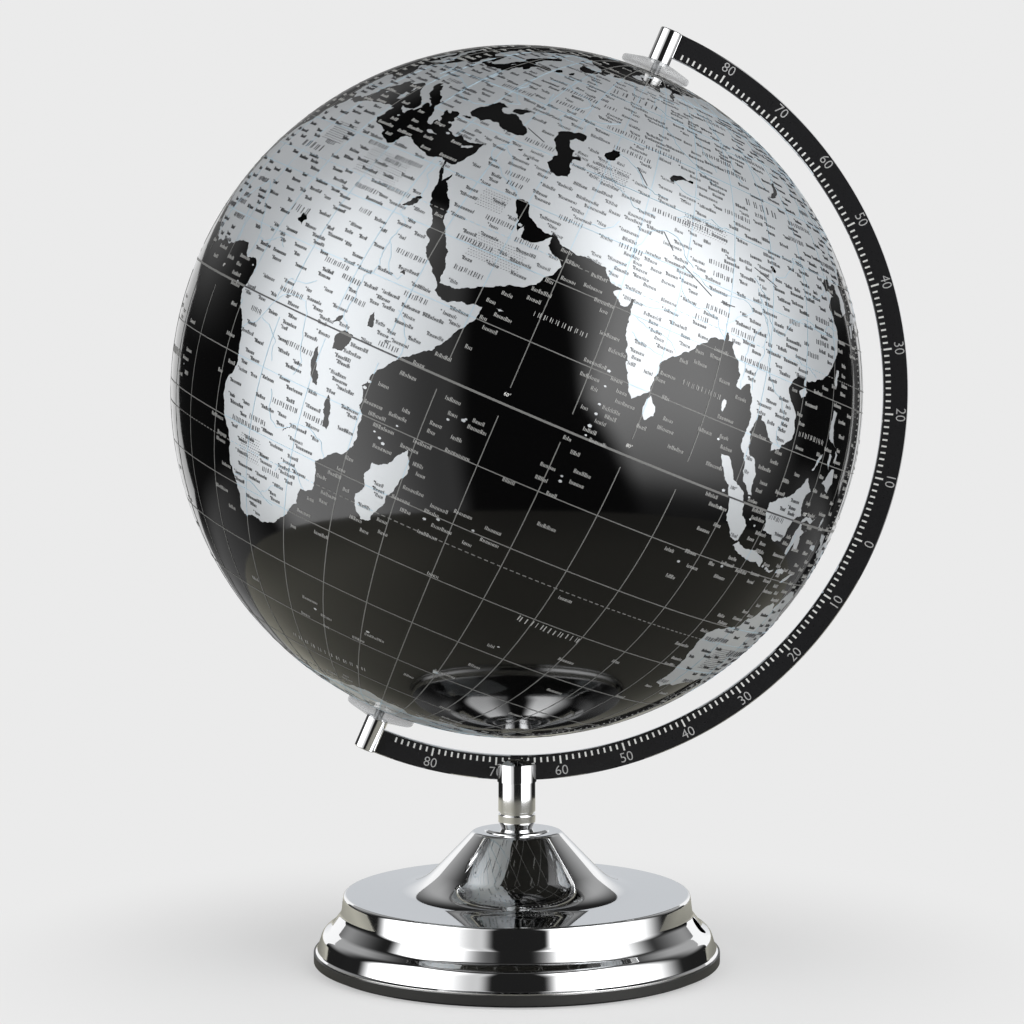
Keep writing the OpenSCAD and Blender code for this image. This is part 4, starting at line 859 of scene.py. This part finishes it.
# The great deserts are marked with rows of fine dashes that slant one way and the other in turn.
row_step, along_step, row_shift, row_lean, fine_w, fine_h = 0.42, 0.45, 0.2, 0.8, 0.00062, 0.00011
stipple_marks = []
for lon_a, lon_b, lat_a, lat_b in ((17, 27, 24, 29), (2, 9, 27, 31), (45, 54, 18.5, 22.5),
                                   (42, 47, 26.5, 29.5), (58, 65, 39, 43), (78, 88, 37.6, 40.2),
                                   (122, 130, -29, -24), (18, 23, -25, -21)):
    for row, lat in enumerate(np.arange(lat_a, lat_b, row_step)):
        first_lon = lon_a + (row % 2) * row_shift
        for lon in np.arange(first_lon, lon_b, along_step / math.cos(math.radians(lat))):
            spot, up, east, upright = frame_at(lon, lat)
            lean = row_lean * (-1) ** (row % 2)
            stipple_marks.append((spot, up, east + lean * upright, fine_w, fine_h))
desert_dashes = print_marks("printed_desert_dashes", stipple_marks, 2 * ink_lift, grey_ink)
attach(desert_dashes, "globe")
for name, marks, material in (("printed_western_towns", west_marks, dark_ink),
                              ("printed_eastern_towns", east_marks, dark_ink),
                              ("printed_countries", country_marks, grey_ink),
                              ("printed_seas", sea_marks, sea_label_ink)):
    piece = print_marks(name, marks, 2 * ink_lift, material)
    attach(piece, "globe")

digit_share = 0.69


def numbers(name, texts, height, material, thickness, thinned=0.0):
    """Numbers in the built-in type, each set flat at (text, place, facing, across), as one mesh. A digit's
    height is digit_share of the type's size."""
    points, faces = [], []
    for text, place, facing, across in texts:
        curve = bpy.data.curves.new("number", "FONT")
        curve.body, curve.size, curve.resolution_u = text, height / digit_share, 3
        curve.align_x, curve.align_y = "CENTER", "CENTER"
        curve.extrude, curve.offset = thickness, -height * thinned
        item = placed("number", curve)
        mesh = bpy.data.meshes.new_from_object(item.evaluated_get(bpy.context.evaluated_depsgraph_get()))
        facing, across = Vector(facing).normalized(), Vector(across).normalized()
        turn = Matrix((across, facing.cross(across), facing)).transposed()
        first = len(points)
        points += [turn @ v.co + Vector(place) for v in mesh.vertices]
        faces += [[first + v for v in p.vertices] for p in mesh.polygons]
        bpy.data.objects.remove(item)
    return mesh_piece(name, points, faces, [0] * len(faces), [material])


meridians, number_lat, number_tall = range(-180, 180, 20), 1.45, 0.0014
dry_meridians = is_land([(lon, number_lat) for lon in meridians])
for name, dry, material in (("printed_sea_longitudes", False, white_ink),
                            ("printed_land_longitudes", True, dark_ink)):
    texts = [(str(abs(lon)) + "°", *frame_at(lon, number_lat)[:3])
             for lon, on_land in zip(meridians, dry_meridians) if on_land == dry]
    piece = numbers(name, texts, number_tall, material, ink_lift)
    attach(piece, "globe")

# ---- Clear spacer discs ----
# Two turned discs of clear acrylic on the axle rod, between the globe's poles and the end caps.


def rounded(corners, turn_step):
    """An outline through [radius, height, rounding] corners, each rounding an arc of steps of that many
    degrees."""
    line = []
    for i, (r, z, fillet) in enumerate(corners):
        here = np.array([r, z], float)
        if not fillet:
            line.append(here)
            continue
        before = np.array(corners[i - 1][:2], float)
        after = np.array(corners[(i + 1) % len(corners)][:2], float)
        into, out = here - before, after - here
        into, out = into / np.linalg.norm(into), out / np.linalg.norm(out)
        turn = math.atan2(into[0] * out[1] - into[1] * out[0], into @ out)
        start = here - into * fillet * math.tan(abs(turn) / 2)
        middle = start + math.copysign(fillet, turn) * np.array([-into[1], into[0]])
        for a in np.linspace(0, turn, max(3, math.ceil(abs(math.degrees(turn)) / turn_step) + 1)):
            s = start - middle
            line.append(middle + [s[0] * math.cos(a) - s[1] * math.sin(a),
                                  s[0] * math.sin(a) + s[1] * math.cos(a)])
    return np.array(line)


on_axis, held_off, long_stretch, sharp_edge = 1e-7, 0.0002, 4, math.radians(24)


def lathe(name, outline, material, turns=128):
    """Turns a closed outline of millimetres about +Z. A stretch that is long beside its neighbours gets a
    ring close to each of its ends, so that it is shaded straight between them."""
    line = np.array(outline, float) / 1000
    area = (line[:, 0] * np.roll(line[:, 1], -1) - np.roll(line[:, 0], -1) * line[:, 1]).sum()
    if area < 0:
        line = line[::-1]
    steps = np.roll(line, -1, axis=0) - line
    long = np.linalg.norm(steps, axis=1)
    held = []
    for k, here in enumerate(line):
        held.append(here)
        if long[k] > long_stretch * min(long[k - 1], long[(k + 1) % len(line)]):
            held += [here + steps[k] * held_off / long[k], here + steps[k] * (1 - held_off / long[k])]
    line = np.array(held)
    turn = np.arange(turns) * 2 * math.pi / turns
    points, first = [], []
    for r, z in line:
        first.append((len(points), r > on_axis))
        ring_of = turn if r > on_axis else turn[:1]
        points += [(r * math.cos(a), r * math.sin(a), z) for a in ring_of]
    faces = []
    for k in range(len(line)):
        (a, open_a), (b, open_b) = first[k], first[(k + 1) % len(line)]
        if not open_a and not open_b:
            continue
        for i in range(turns):
            j = (i + 1) % turns
            if open_a and open_b:
                faces.append((a + i, a + j, b + j, b + i))
            elif open_a:
                faces.append((a + i, a + j, b))
            else:
                faces.append((a, b + j, b + i))
    piece = mesh_piece(name, points, faces, [0] * len(faces), [material], True)
    piece.data.set_sharp_from_angle(angle=sharp_edge)
    return piece


axle_turn = Matrix.Translation(centre) @ Matrix(
    (Vector(level), Vector(side), Vector(north))).transposed().to_4x4()
south_flip = Matrix.Rotation(math.pi, 4, "X")

clear_acrylic, place = new_finish("clear_acrylic")
set_finish(clear_acrylic, Base_Color=(0.38, 0.39, 0.40, 1), IOR=1.49, Alpha=0.42,
           Roughness=place.noise(400).spread(0.05, 0.12))
disc_r, disc_low, disc_high, disc_edge, bore_r = 15.5, 150.3, 155.2, 153.0, 2.05
for name, flip in (("north_clear_disc", Matrix()), ("south_clear_disc", south_flip)):
    disc = lathe("turned_" + name, rounded([
        [bore_r, disc_high, 0], [7.0, disc_high, 2], [disc_r, disc_edge, 1.1], [disc_r, disc_low, 1.1],
        [bore_r, disc_low, 0]], 10), clear_acrylic)
    disc.data.transform(axle_turn @ flip)
    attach(disc, "stand")
    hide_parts(name)

# ---- End caps and post fittings ----
# Turned and plated steel: the caps that hold the axle rod and the arc's ends, and the slotted head of the
# post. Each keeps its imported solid's shape, with its edges joined and its round faces shaded as turned.
chrome, place = new_finish("bright_chrome")
swirl, smear = place.noise(45, 5), place.noise(14, 4)
set_finish(chrome, Base_Color=smear.blend((0.80, 0.805, 0.815), (0.86, 0.865, 0.87)), Metallic=1.0,
           Roughness=swirl.spread(0.02, 0.06), Normal=swirl.bump(0.03, 0.0002))
joined_within, too_short, round_within = 1e-6, 1e-6, 0.985


def mended(mesh, mend):
    """Runs one job of mesh editing on a mesh."""
    tool = bmesh.new()
    tool.from_mesh(mesh)
    mend(tool)
    tool.to_mesh(mesh)
    tool.free()


def joined_copy(node, name, material, axis_point, axis):
    """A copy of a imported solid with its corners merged. A face is shaded round where it looks away from the
    axis, unless it would have to lean by more than the angle whose cosine is round_within."""
    mesh = frame["nodes"][node].data.copy()
    mended(mesh, lambda tool: bmesh.ops.remove_doubles(tool, verts=tool.verts, dist=joined_within))
    mesh.materials.clear()
    mesh.materials.append(material)
    mesh.polygons.foreach_set("material_index", [0] * len(mesh.polygons))
    mesh.polygons.foreach_set("use_smooth", [True] * len(mesh.polygons))
    axis_point, axis = np.array(axis_point, float), np.array(axis, float)
    normals = []
    for face in mesh.polygons:
        flat = np.array(face.normal)
        for corner in face.vertices:
            out = np.array(mesh.vertices[corner].co) - axis_point
            out -= axis * (out @ axis)
            length = np.linalg.norm(out)
            slope = flat - axis * (flat @ axis)
            if length > too_short and np.linalg.norm(slope) > too_short:
                out /= length
                true = axis * (flat @ axis) + out * math.copysign(np.linalg.norm(slope), flat @ out)
                true /= np.linalg.norm(true)
                if true @ flat > round_within:
                    normals.append(true)
                    continue
            normals.append(flat)
    mesh.normals_split_custom_set([tuple(n) for n in normals])
    return placed(name, mesh)


for node in ("north_end_cap", "south_end_cap"):
    cap = joined_copy(node, "plated_" + node, chrome, centre, north)
    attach(cap, "stand")
    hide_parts(node)
head = joined_copy("post_head", "plated_post_head", chrome, (0, 0, 0), (0, 0, 1))
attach(head, "stand")
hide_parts("post_head")

# ---- Meridian arc ----
# A half ring of 11 x 3 mm flat steel, polished, with black enamel on both flat faces and a scale of degrees
# printed in white on them. Its chamfered edges and its ends beside the caps are left bright.
arc_in, arc_out, arc_half, arc_bevel = 0.159, 0.170, 0.0015, 0.0004
# The steel starts arc_end from the axle's line, and the enamel a little further on.
arc_end, enamel_north, enamel_south, arc_sharp = 0.0035, 0.0052, 0.0075, math.radians(20)
arc_enamel, place = new_finish("black_arc_enamel")
peel = place.noise(1500, 2)
set_finish(arc_enamel, Base_Color=peel.blend((0.012, 0.012, 0.013), (0.017, 0.017, 0.018)),
           Roughness=place.noise(30).spread(0.16, 0.24), Normal=peel.bump(0.1, 0.00003))


def arc_point(out, turn, y):
    """A point of the arc: out from the globe's centre, turned from north, and y across its thickness."""
    return centre + out * (math.cos(turn) * north + math.sin(turn) * level) + np.array([0, y, 0])


enamel_in, enamel_out = arc_in + arc_bevel, arc_out - arc_bevel
section = [(arc_in, -arc_half + arc_bevel), (enamel_in, -arc_half), (enamel_out, -arc_half),
           (arc_out, -arc_half + arc_bevel), (arc_out, arc_half - arc_bevel), (enamel_out, arc_half),
           (enamel_in, arc_half), (arc_in, arc_half - arc_bevel)]
rows = [("end", arc_end), ("end", enamel_north)] + [("turn", math.radians(a)) for a in range(4, 177)]
rows += [("far", enamel_south), ("far", arc_end)]
points = []
for kind, value in rows:
    for out, y in section:
        turn = value if kind == "turn" else math.asin(value / out)
        points.append(arc_point(out, math.pi - turn if kind == "far" else turn, y))
faces, slots, sides, flat_sides = [], [], len(section), (1, 5)
for row in range(len(rows) - 1):
    for k in range(sides):
        a, b = row * sides + k, row * sides + (k + 1) % sides
        faces.append((a, b, b + sides, a + sides))
        slots.append(1 if k in flat_sides and 0 < row < len(rows) - 2 else 0)
last = (len(rows) - 1) * sides
faces += [tuple(reversed(range(sides))), tuple(range(last, last + sides))]
slots += [0, 0]
arc = mesh_piece("enamelled_meridian_arc", points, faces, slots, [chrome, arc_enamel], True)
mended(arc.data, lambda tool: bmesh.ops.recalc_face_normals(tool, faces=tool.faces))
arc.data.set_sharp_from_angle(angle=arc_sharp)
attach(arc, "stand")
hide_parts("meridian_arc")

tick_in, tick_short, tick_long, tick_w, ink_t = 0.1601, 0.1623, 0.1636, 0.00076, 0.00008
digit_out, digit_h, digit_thinned = 0.1667, 0.0042, 0.014
ticks, scale_numbers = [], []
pale_ink = ink("pale_ink", (0.42, 0.42, 0.42))
for face in (-1, 1):
    y, facing = face * arc_half, (0, face, 0)
    for degree in range(3, 177):
        turn = math.radians(degree)
        top = tick_long if degree % 10 == 0 else tick_short
        across = math.cos(turn) * level - math.sin(turn) * north
        middle = arc_point((tick_in + top) / 2, turn, y)
        ticks.append((middle, facing, across * -face, tick_w, top - tick_in))
    for degree in range(10, 180, 10):
        turn = math.radians(degree)
        upright = math.cos(turn) * north + math.sin(turn) * level
        if degree > 90:
            upright = -upright
        across = np.cross(upright, facing)
        middle = arc_point(digit_out, turn, y)
        scale_numbers.append((str(abs(90 - degree)), middle, facing, across))
scale_ticks = print_marks("printed_degree_ticks", ticks, ink_t, white_ink)
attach(scale_ticks, "stand")
scale_digits = numbers("printed_degree_numbers", scale_numbers, digit_h, pale_ink, ink_t / 2, digit_thinned)
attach(scale_digits, "stand")

# ---- Post ----
# A plated tube between its slotted head and a turned foot ring, which stands on a thin plated washer.
tube_r, tube_in, tube_low, tube_high, tube_edge = 8.15, 6.85, 67.2, 80.4, 0.15
tie_bore_r, foot_low, cover_top = 4.05, 59.6, 58.6
tube = lathe("plated_post_tube", rounded([
    [tube_in, tube_low, 0], [tube_r, tube_low, tube_edge], [tube_r, tube_high, tube_edge],
    [tube_in, tube_high, 0]], 15), chrome)
foot_ring = lathe("plated_foot_ring", rounded([
    [tie_bore_r, tube_low, 0], [7.35, tube_low, 0], [7.35, 66.0, 0], [tube_r, 66.0, 0.4], [tube_r, 62.4, 2],
    [6.9, foot_low, 0], [tie_bore_r, foot_low, 0]], 6), chrome)
washer = lathe("plated_post_washer", rounded([
    [tie_bore_r, foot_low, 0], [13.0, 59.5, 1.2], [14.3, 58.9, 0.4], [14.3, cover_top, 0],
    [tie_bore_r, cover_top, 0]], 3), chrome)
for piece, node in ((tube, "post_tube"), (foot_ring, "post_foot_ring"), (washer, "post_washer")):
    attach(piece, "stand")
    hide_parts(node)

# ---- Base cover ----
# A spun and plated steel cover: a bell on a plateau, then a cove and a rounded swell down to its rim. A
# round hole for a cable is cut square to its flank.
cover_line = rounded([
    [4.3, cover_top, 0], [19.2, cover_top, 3.2], [43.980, 32.939, 28], [76.3, 31, 1.6], [77.4, 22.3, 4],
    [81.582, 16.698, 5], [85.6, 14.0, 5], [87.8, 6.9, 0.8], [88.7, 6.1, 0.2], [88.7, 5.6, 0]], 3)
cover_t, hole_r, drill_half = 1.2, 4.4, 6
steps = np.diff(cover_line, axis=0)
steps /= np.linalg.norm(steps, axis=1)[:, None]
inwards = np.stack([steps[:, 1], -steps[:, 0]], 1)
before, after = np.vstack([inwards[:1], inwards]), np.vstack([inwards, inwards[-1:]])
inner_line = cover_line + cover_t * (before + after) / (1 + (before * after).sum(1))[:, None]
cover = lathe("plated_base_cover", np.vstack([cover_line, inner_line[::-1]]), chrome, turns=240)

hole = next(m for m in frame["record"]["mounts"] if m["name"] == "cable_hole")
hole_place, hole_way = Vector(hole["pos_m"]), Vector(hole["axis"])
drill = lathe("cable_hole_drill", [[0, -drill_half], [hole_r, -drill_half], [hole_r, drill_half],
                                   [0, drill_half]], chrome, turns=64)
drill.data.transform(Matrix.Translation(hole_place) @ hole_way.to_track_quat("Z", "Y").to_matrix().to_4x4())
cut = cover.modifiers.new("cable_hole", "BOOLEAN")
cut.object, cut.operation, cut.solver = drill, "DIFFERENCE", "EXACT"
drilled = bpy.data.meshes.new_from_object(cover.evaluated_get(bpy.context.evaluated_depsgraph_get()))
cover.modifiers.clear()
cover.data = drilled
bpy.data.objects.remove(drill)
cover.data.set_sharp_from_angle(angle=sharp_edge)
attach(cover, "stand")
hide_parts("base_cover")

# ---- Base plate and foot pad ----
# The moulded black plate that closes the cover, seen as a dark edge under its rim, and the fine foam pad
# below.
plate_black, place = new_finish("satin_black_plate")
pits = place.noise(1200, 3)
set_finish(plate_black, Base_Color=pits.blend((0.014, 0.014, 0.014), (0.022, 0.022, 0.022)),
           Roughness=pits.spread(0.30, 0.42), Normal=pits.bump(0.25, 0.00004))
foam_black, place = new_finish("black_foam")
cells = place.noise(2600, 2)
set_finish(foam_black, Base_Color=cells.blend((0.012, 0.012, 0.012), (0.035, 0.035, 0.035)), Roughness=0.9,
           Normal=cells.bump(0.6, 0.0002))
for node, name, material, slot in (("base_plate", "moulded_base_plate", plate_black, "base_plastic"),
                                   ("foot_pad", "foam_foot_pad", foam_black, "foam")):
    piece = joined_copy(node, name, material, (0, 0, 0), (0, 0, 1))
    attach(piece, "stand")
    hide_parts(node)

# ---- Rods, screws, nut, ballast and inner mouldings ----
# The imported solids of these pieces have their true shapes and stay: they get the finish of their metal or
# plastic. Zinc plate is spangled, black oxide is dull, and the iron ring is a raw casting.
zinc, place = new_finish("zinc_plate")
spangle = place.node("ShaderNodeTexVoronoi", {}, {"Vector": place, "Scale": 700.0})
set_finish(zinc, Base_Color=spangle.blend((0.46, 0.47, 0.49), (0.62, 0.63, 0.65)), Metallic=1.0,
           Roughness=place.noise(220).spread(0.26, 0.42))
black_oxide, place = new_finish("black_oxide")
set_finish(black_oxide, Base_Color=place.noise(500).blend((0.03, 0.03, 0.032), (0.06, 0.06, 0.06)),
           Metallic=0.8, Roughness=place.noise(900).spread(0.4, 0.55))
raw_iron, place = new_finish("raw_iron_casting")
sand = place.noise(650, 6)
set_finish(raw_iron, Base_Color=sand.blend((0.06, 0.055, 0.05), (0.16, 0.15, 0.145)), Metallic=0.4,
           Roughness=sand.spread(0.6, 0.85), Normal=sand.bump(0.7, 0.0004))
for material, nodes in ((moulded_white, ("equator_band", "north_pole_bush", "south_pole_bush")),
                        (zinc, ("axle_rod", "tie_rod", "tie_washer", "tie_nut", "base_screws")),
                        (black_oxide, ("cap_grub_screws", "arc_set_screw")),
                        (raw_iron, ("ballast_weight",))):
    for node in nodes:
        for holder in frame["nodes"][node].material_slots:
            holder.material = material

# ---- Studio ----
# A round pale table before a pale backdrop, two large soft lights in front, left and right, with dark
# between and beside them, so that the gloss shows long soft bands, and a low white card behind.
table_r, table_z, table_turns, backdrop_level = 0.435, -0.0002, 96, 0.83
# mirror_near, mirror_far and mirror_tint are the painted reflection tone of the table, as the gloss sees it.
table_seen, table_bounce, mirror_near, mirror_far, mirror_tint = 0.84, 0.46, 0.31, 0.2, (1, 0.97, 0.82)
floor_paint, place = new_finish("studio_floor_paint")
rim_turns = [2 * math.pi * i / table_turns for i in range(table_turns)]
table_rim = [(table_r * math.cos(a), table_r * math.sin(a), table_z) for a in rim_turns]
floor = mesh_piece("studio_floor", table_rim, [range(table_turns)], [0], [floor_paint])
# The table shows the camera a flat pale tone. The gloss sees a painted reflection tone instead: darker and warmer
# than its paint, darker still towards its edge, and painted lighter towards the left and the back as a light wash
# that the globe and the chrome reflect. Diffuse light takes a darker tone from it.
camera_ray, glossy_ray, clear_ray = (place.node("ShaderNodeLightPath", out=name)
                                     for name in ("Is Camera Ray", "Is Glossy Ray", "Is Transmission Ray"))
away = place.node("ShaderNodeVectorMath", {"operation": "LENGTH"}, {0: place}, 1)
dim = away.ramp(0.28, 0.42, mirror_near, mirror_far)
# Painted light: as the gloss sees it, the table is lighter towards the left (-x) and the back (+y).
left_painted_light, back_painted_light = (place.node("ShaderNodeSeparateXYZ", {}, {0: place}, axis).ramp(0.0, far, 0.0, gain)
                      for axis, far, gain in ((0, -0.28, 1.4), (1, 0.3, 1.2)))
shown = camera_ray + clear_ray
painted_reflection_tone = (glossy_ray * dim * (left_painted_light + back_painted_light + 1)).blend((0, 0, 0), mirror_tint)
direct = shown * table_seen + (1 - shown) * (1 - glossy_ray) * table_bounce
floor_tone = place.node("ShaderNodeMix", {"data_type": "RGBA"},
                        {0: glossy_ray * (1 - shown), 6: direct, 7: painted_reflection_tone}, 2)
set_finish(floor_paint, Base_Color=floor_tone, Roughness=0.7, Specular_IOR_Level=0.2)
fade = away.ramp(0.08, 0.27, 0.5)
glow = place.node("ShaderNodeEmission", {}, {"Color": (backdrop_level,) * 3 + (1,), "Strength": 1.0})
floor_nodes = floor_paint.node_tree.nodes
paint = Wire(floor_paint.node_tree, floor_nodes["Principled BSDF"].outputs[0])
mixed = place.node("ShaderNodeMixShader", {}, {0: shown * fade, 1: paint, 2: glow})
floor_paint.node_tree.links.new(mixed.socket, floor_nodes["Material Output"].inputs["Surface"])

card_x, card_y, card_low, card_high, card_level = 0.81, 1.0, -0.02, 0.47, 1.05
card_light, place = new_finish("studio_card_light")
card = mesh_piece("studio_card", [(-card_x, card_y, card_low), (card_x, card_y, card_low),
                                  (card_x, card_y, card_high), (-card_x, card_y, card_high)],
                  [(0, 1, 2, 3)], [0], [card_light])
card.visible_camera = False
sideways = place.maths("ABSOLUTE", place.node("ShaderNodeSeparateXYZ", {}, {0: place}))
shade = place.node("ShaderNodeMapRange", {}, {"Value": sideways, "From Min": 0.2, "From Max": 0.45})
set_finish(card_light, Base_Color=(0, 0, 0, 1), Emission_Color=shade.blend((0.575, 0.595, 0.62), (1, 1, 1)),
           Emission_Strength=card_level, Roughness=1.0)

# The lights are drawn on the sky by azimuth, to the right of straight ahead of the object, and by height.
right_level, left_level, behind_level, low_level = 4.2, 0.68, 0.4, 0.25
overhead_level, dark_level, in_degrees = 0.1, 0.015, 57.2958
world = bpy.data.worlds.new("studio")
bpy.context.scene.world = world
world.use_nodes = True
world.node_tree.nodes.clear()
air = Wire(world.node_tree)
way = air.node("ShaderNodeTexCoord", out="Generated")
x, y, z = (air.node("ShaderNodeSeparateXYZ", {}, {0: way}, i) for i in range(3))
azimuth = air.maths("ARCTAN2", x, y * -1) * in_degrees
height = air.maths("ARCSINE", z) * in_degrees
soft = height.ramp(0, 40) * 20 + 29
top = 1 - height.ramp(52, 62)
inner_edge = azimuth + height * 0.1 + air.maths("MINIMUM", height, 0) * 0.6
right_light = (inner_edge.ramp(19, soft) * (1 - azimuth.ramp(58, 112)) * height.ramp(-46, 4)
               * (height.ramp(-31, -20) * 0.8 + 0.2) * top)
leftwards_by = azimuth * -1
left_light = (leftwards_by.ramp(13, 22) * (1 - leftwards_by.ramp(84, 102)) * height.ramp(-50, -34)
              * top * (leftwards_by.ramp(24, 60) * 3 + 1))
aside = air.maths("ABSOLUTE", azimuth)
behind = (aside.ramp(104, 150) * (1 - aside.ramp(152, 174)) * height.ramp(4, 20)
          * (1 - height.ramp(36, 58)) + aside.ramp(148, 172) * (1 - height.ramp(4, 20)))
low_round = aside.ramp(95, 125) * (1 - height.ramp(-18, -12))
overhead = height.ramp(62, 76)
studio = (right_light * right_level + left_light * left_level + behind * behind_level
          + low_round * low_level + overhead * overhead_level + dark_level)
strength = air.node("ShaderNodeMix", {}, {0: air.node("ShaderNodeLightPath", out="Is Camera Ray"), 2: studio,
                                          3: backdrop_level})
lit = air.node("ShaderNodeBackground", {}, {"Color": (1, 1, 1, 1), "Strength": strength})
world_out = world.node_tree.nodes.new("ShaderNodeOutputWorld")
world.node_tree.links.new(lit.socket, world_out.inputs[0])
bpy.context.scene.view_settings.view_transform = "Standard"
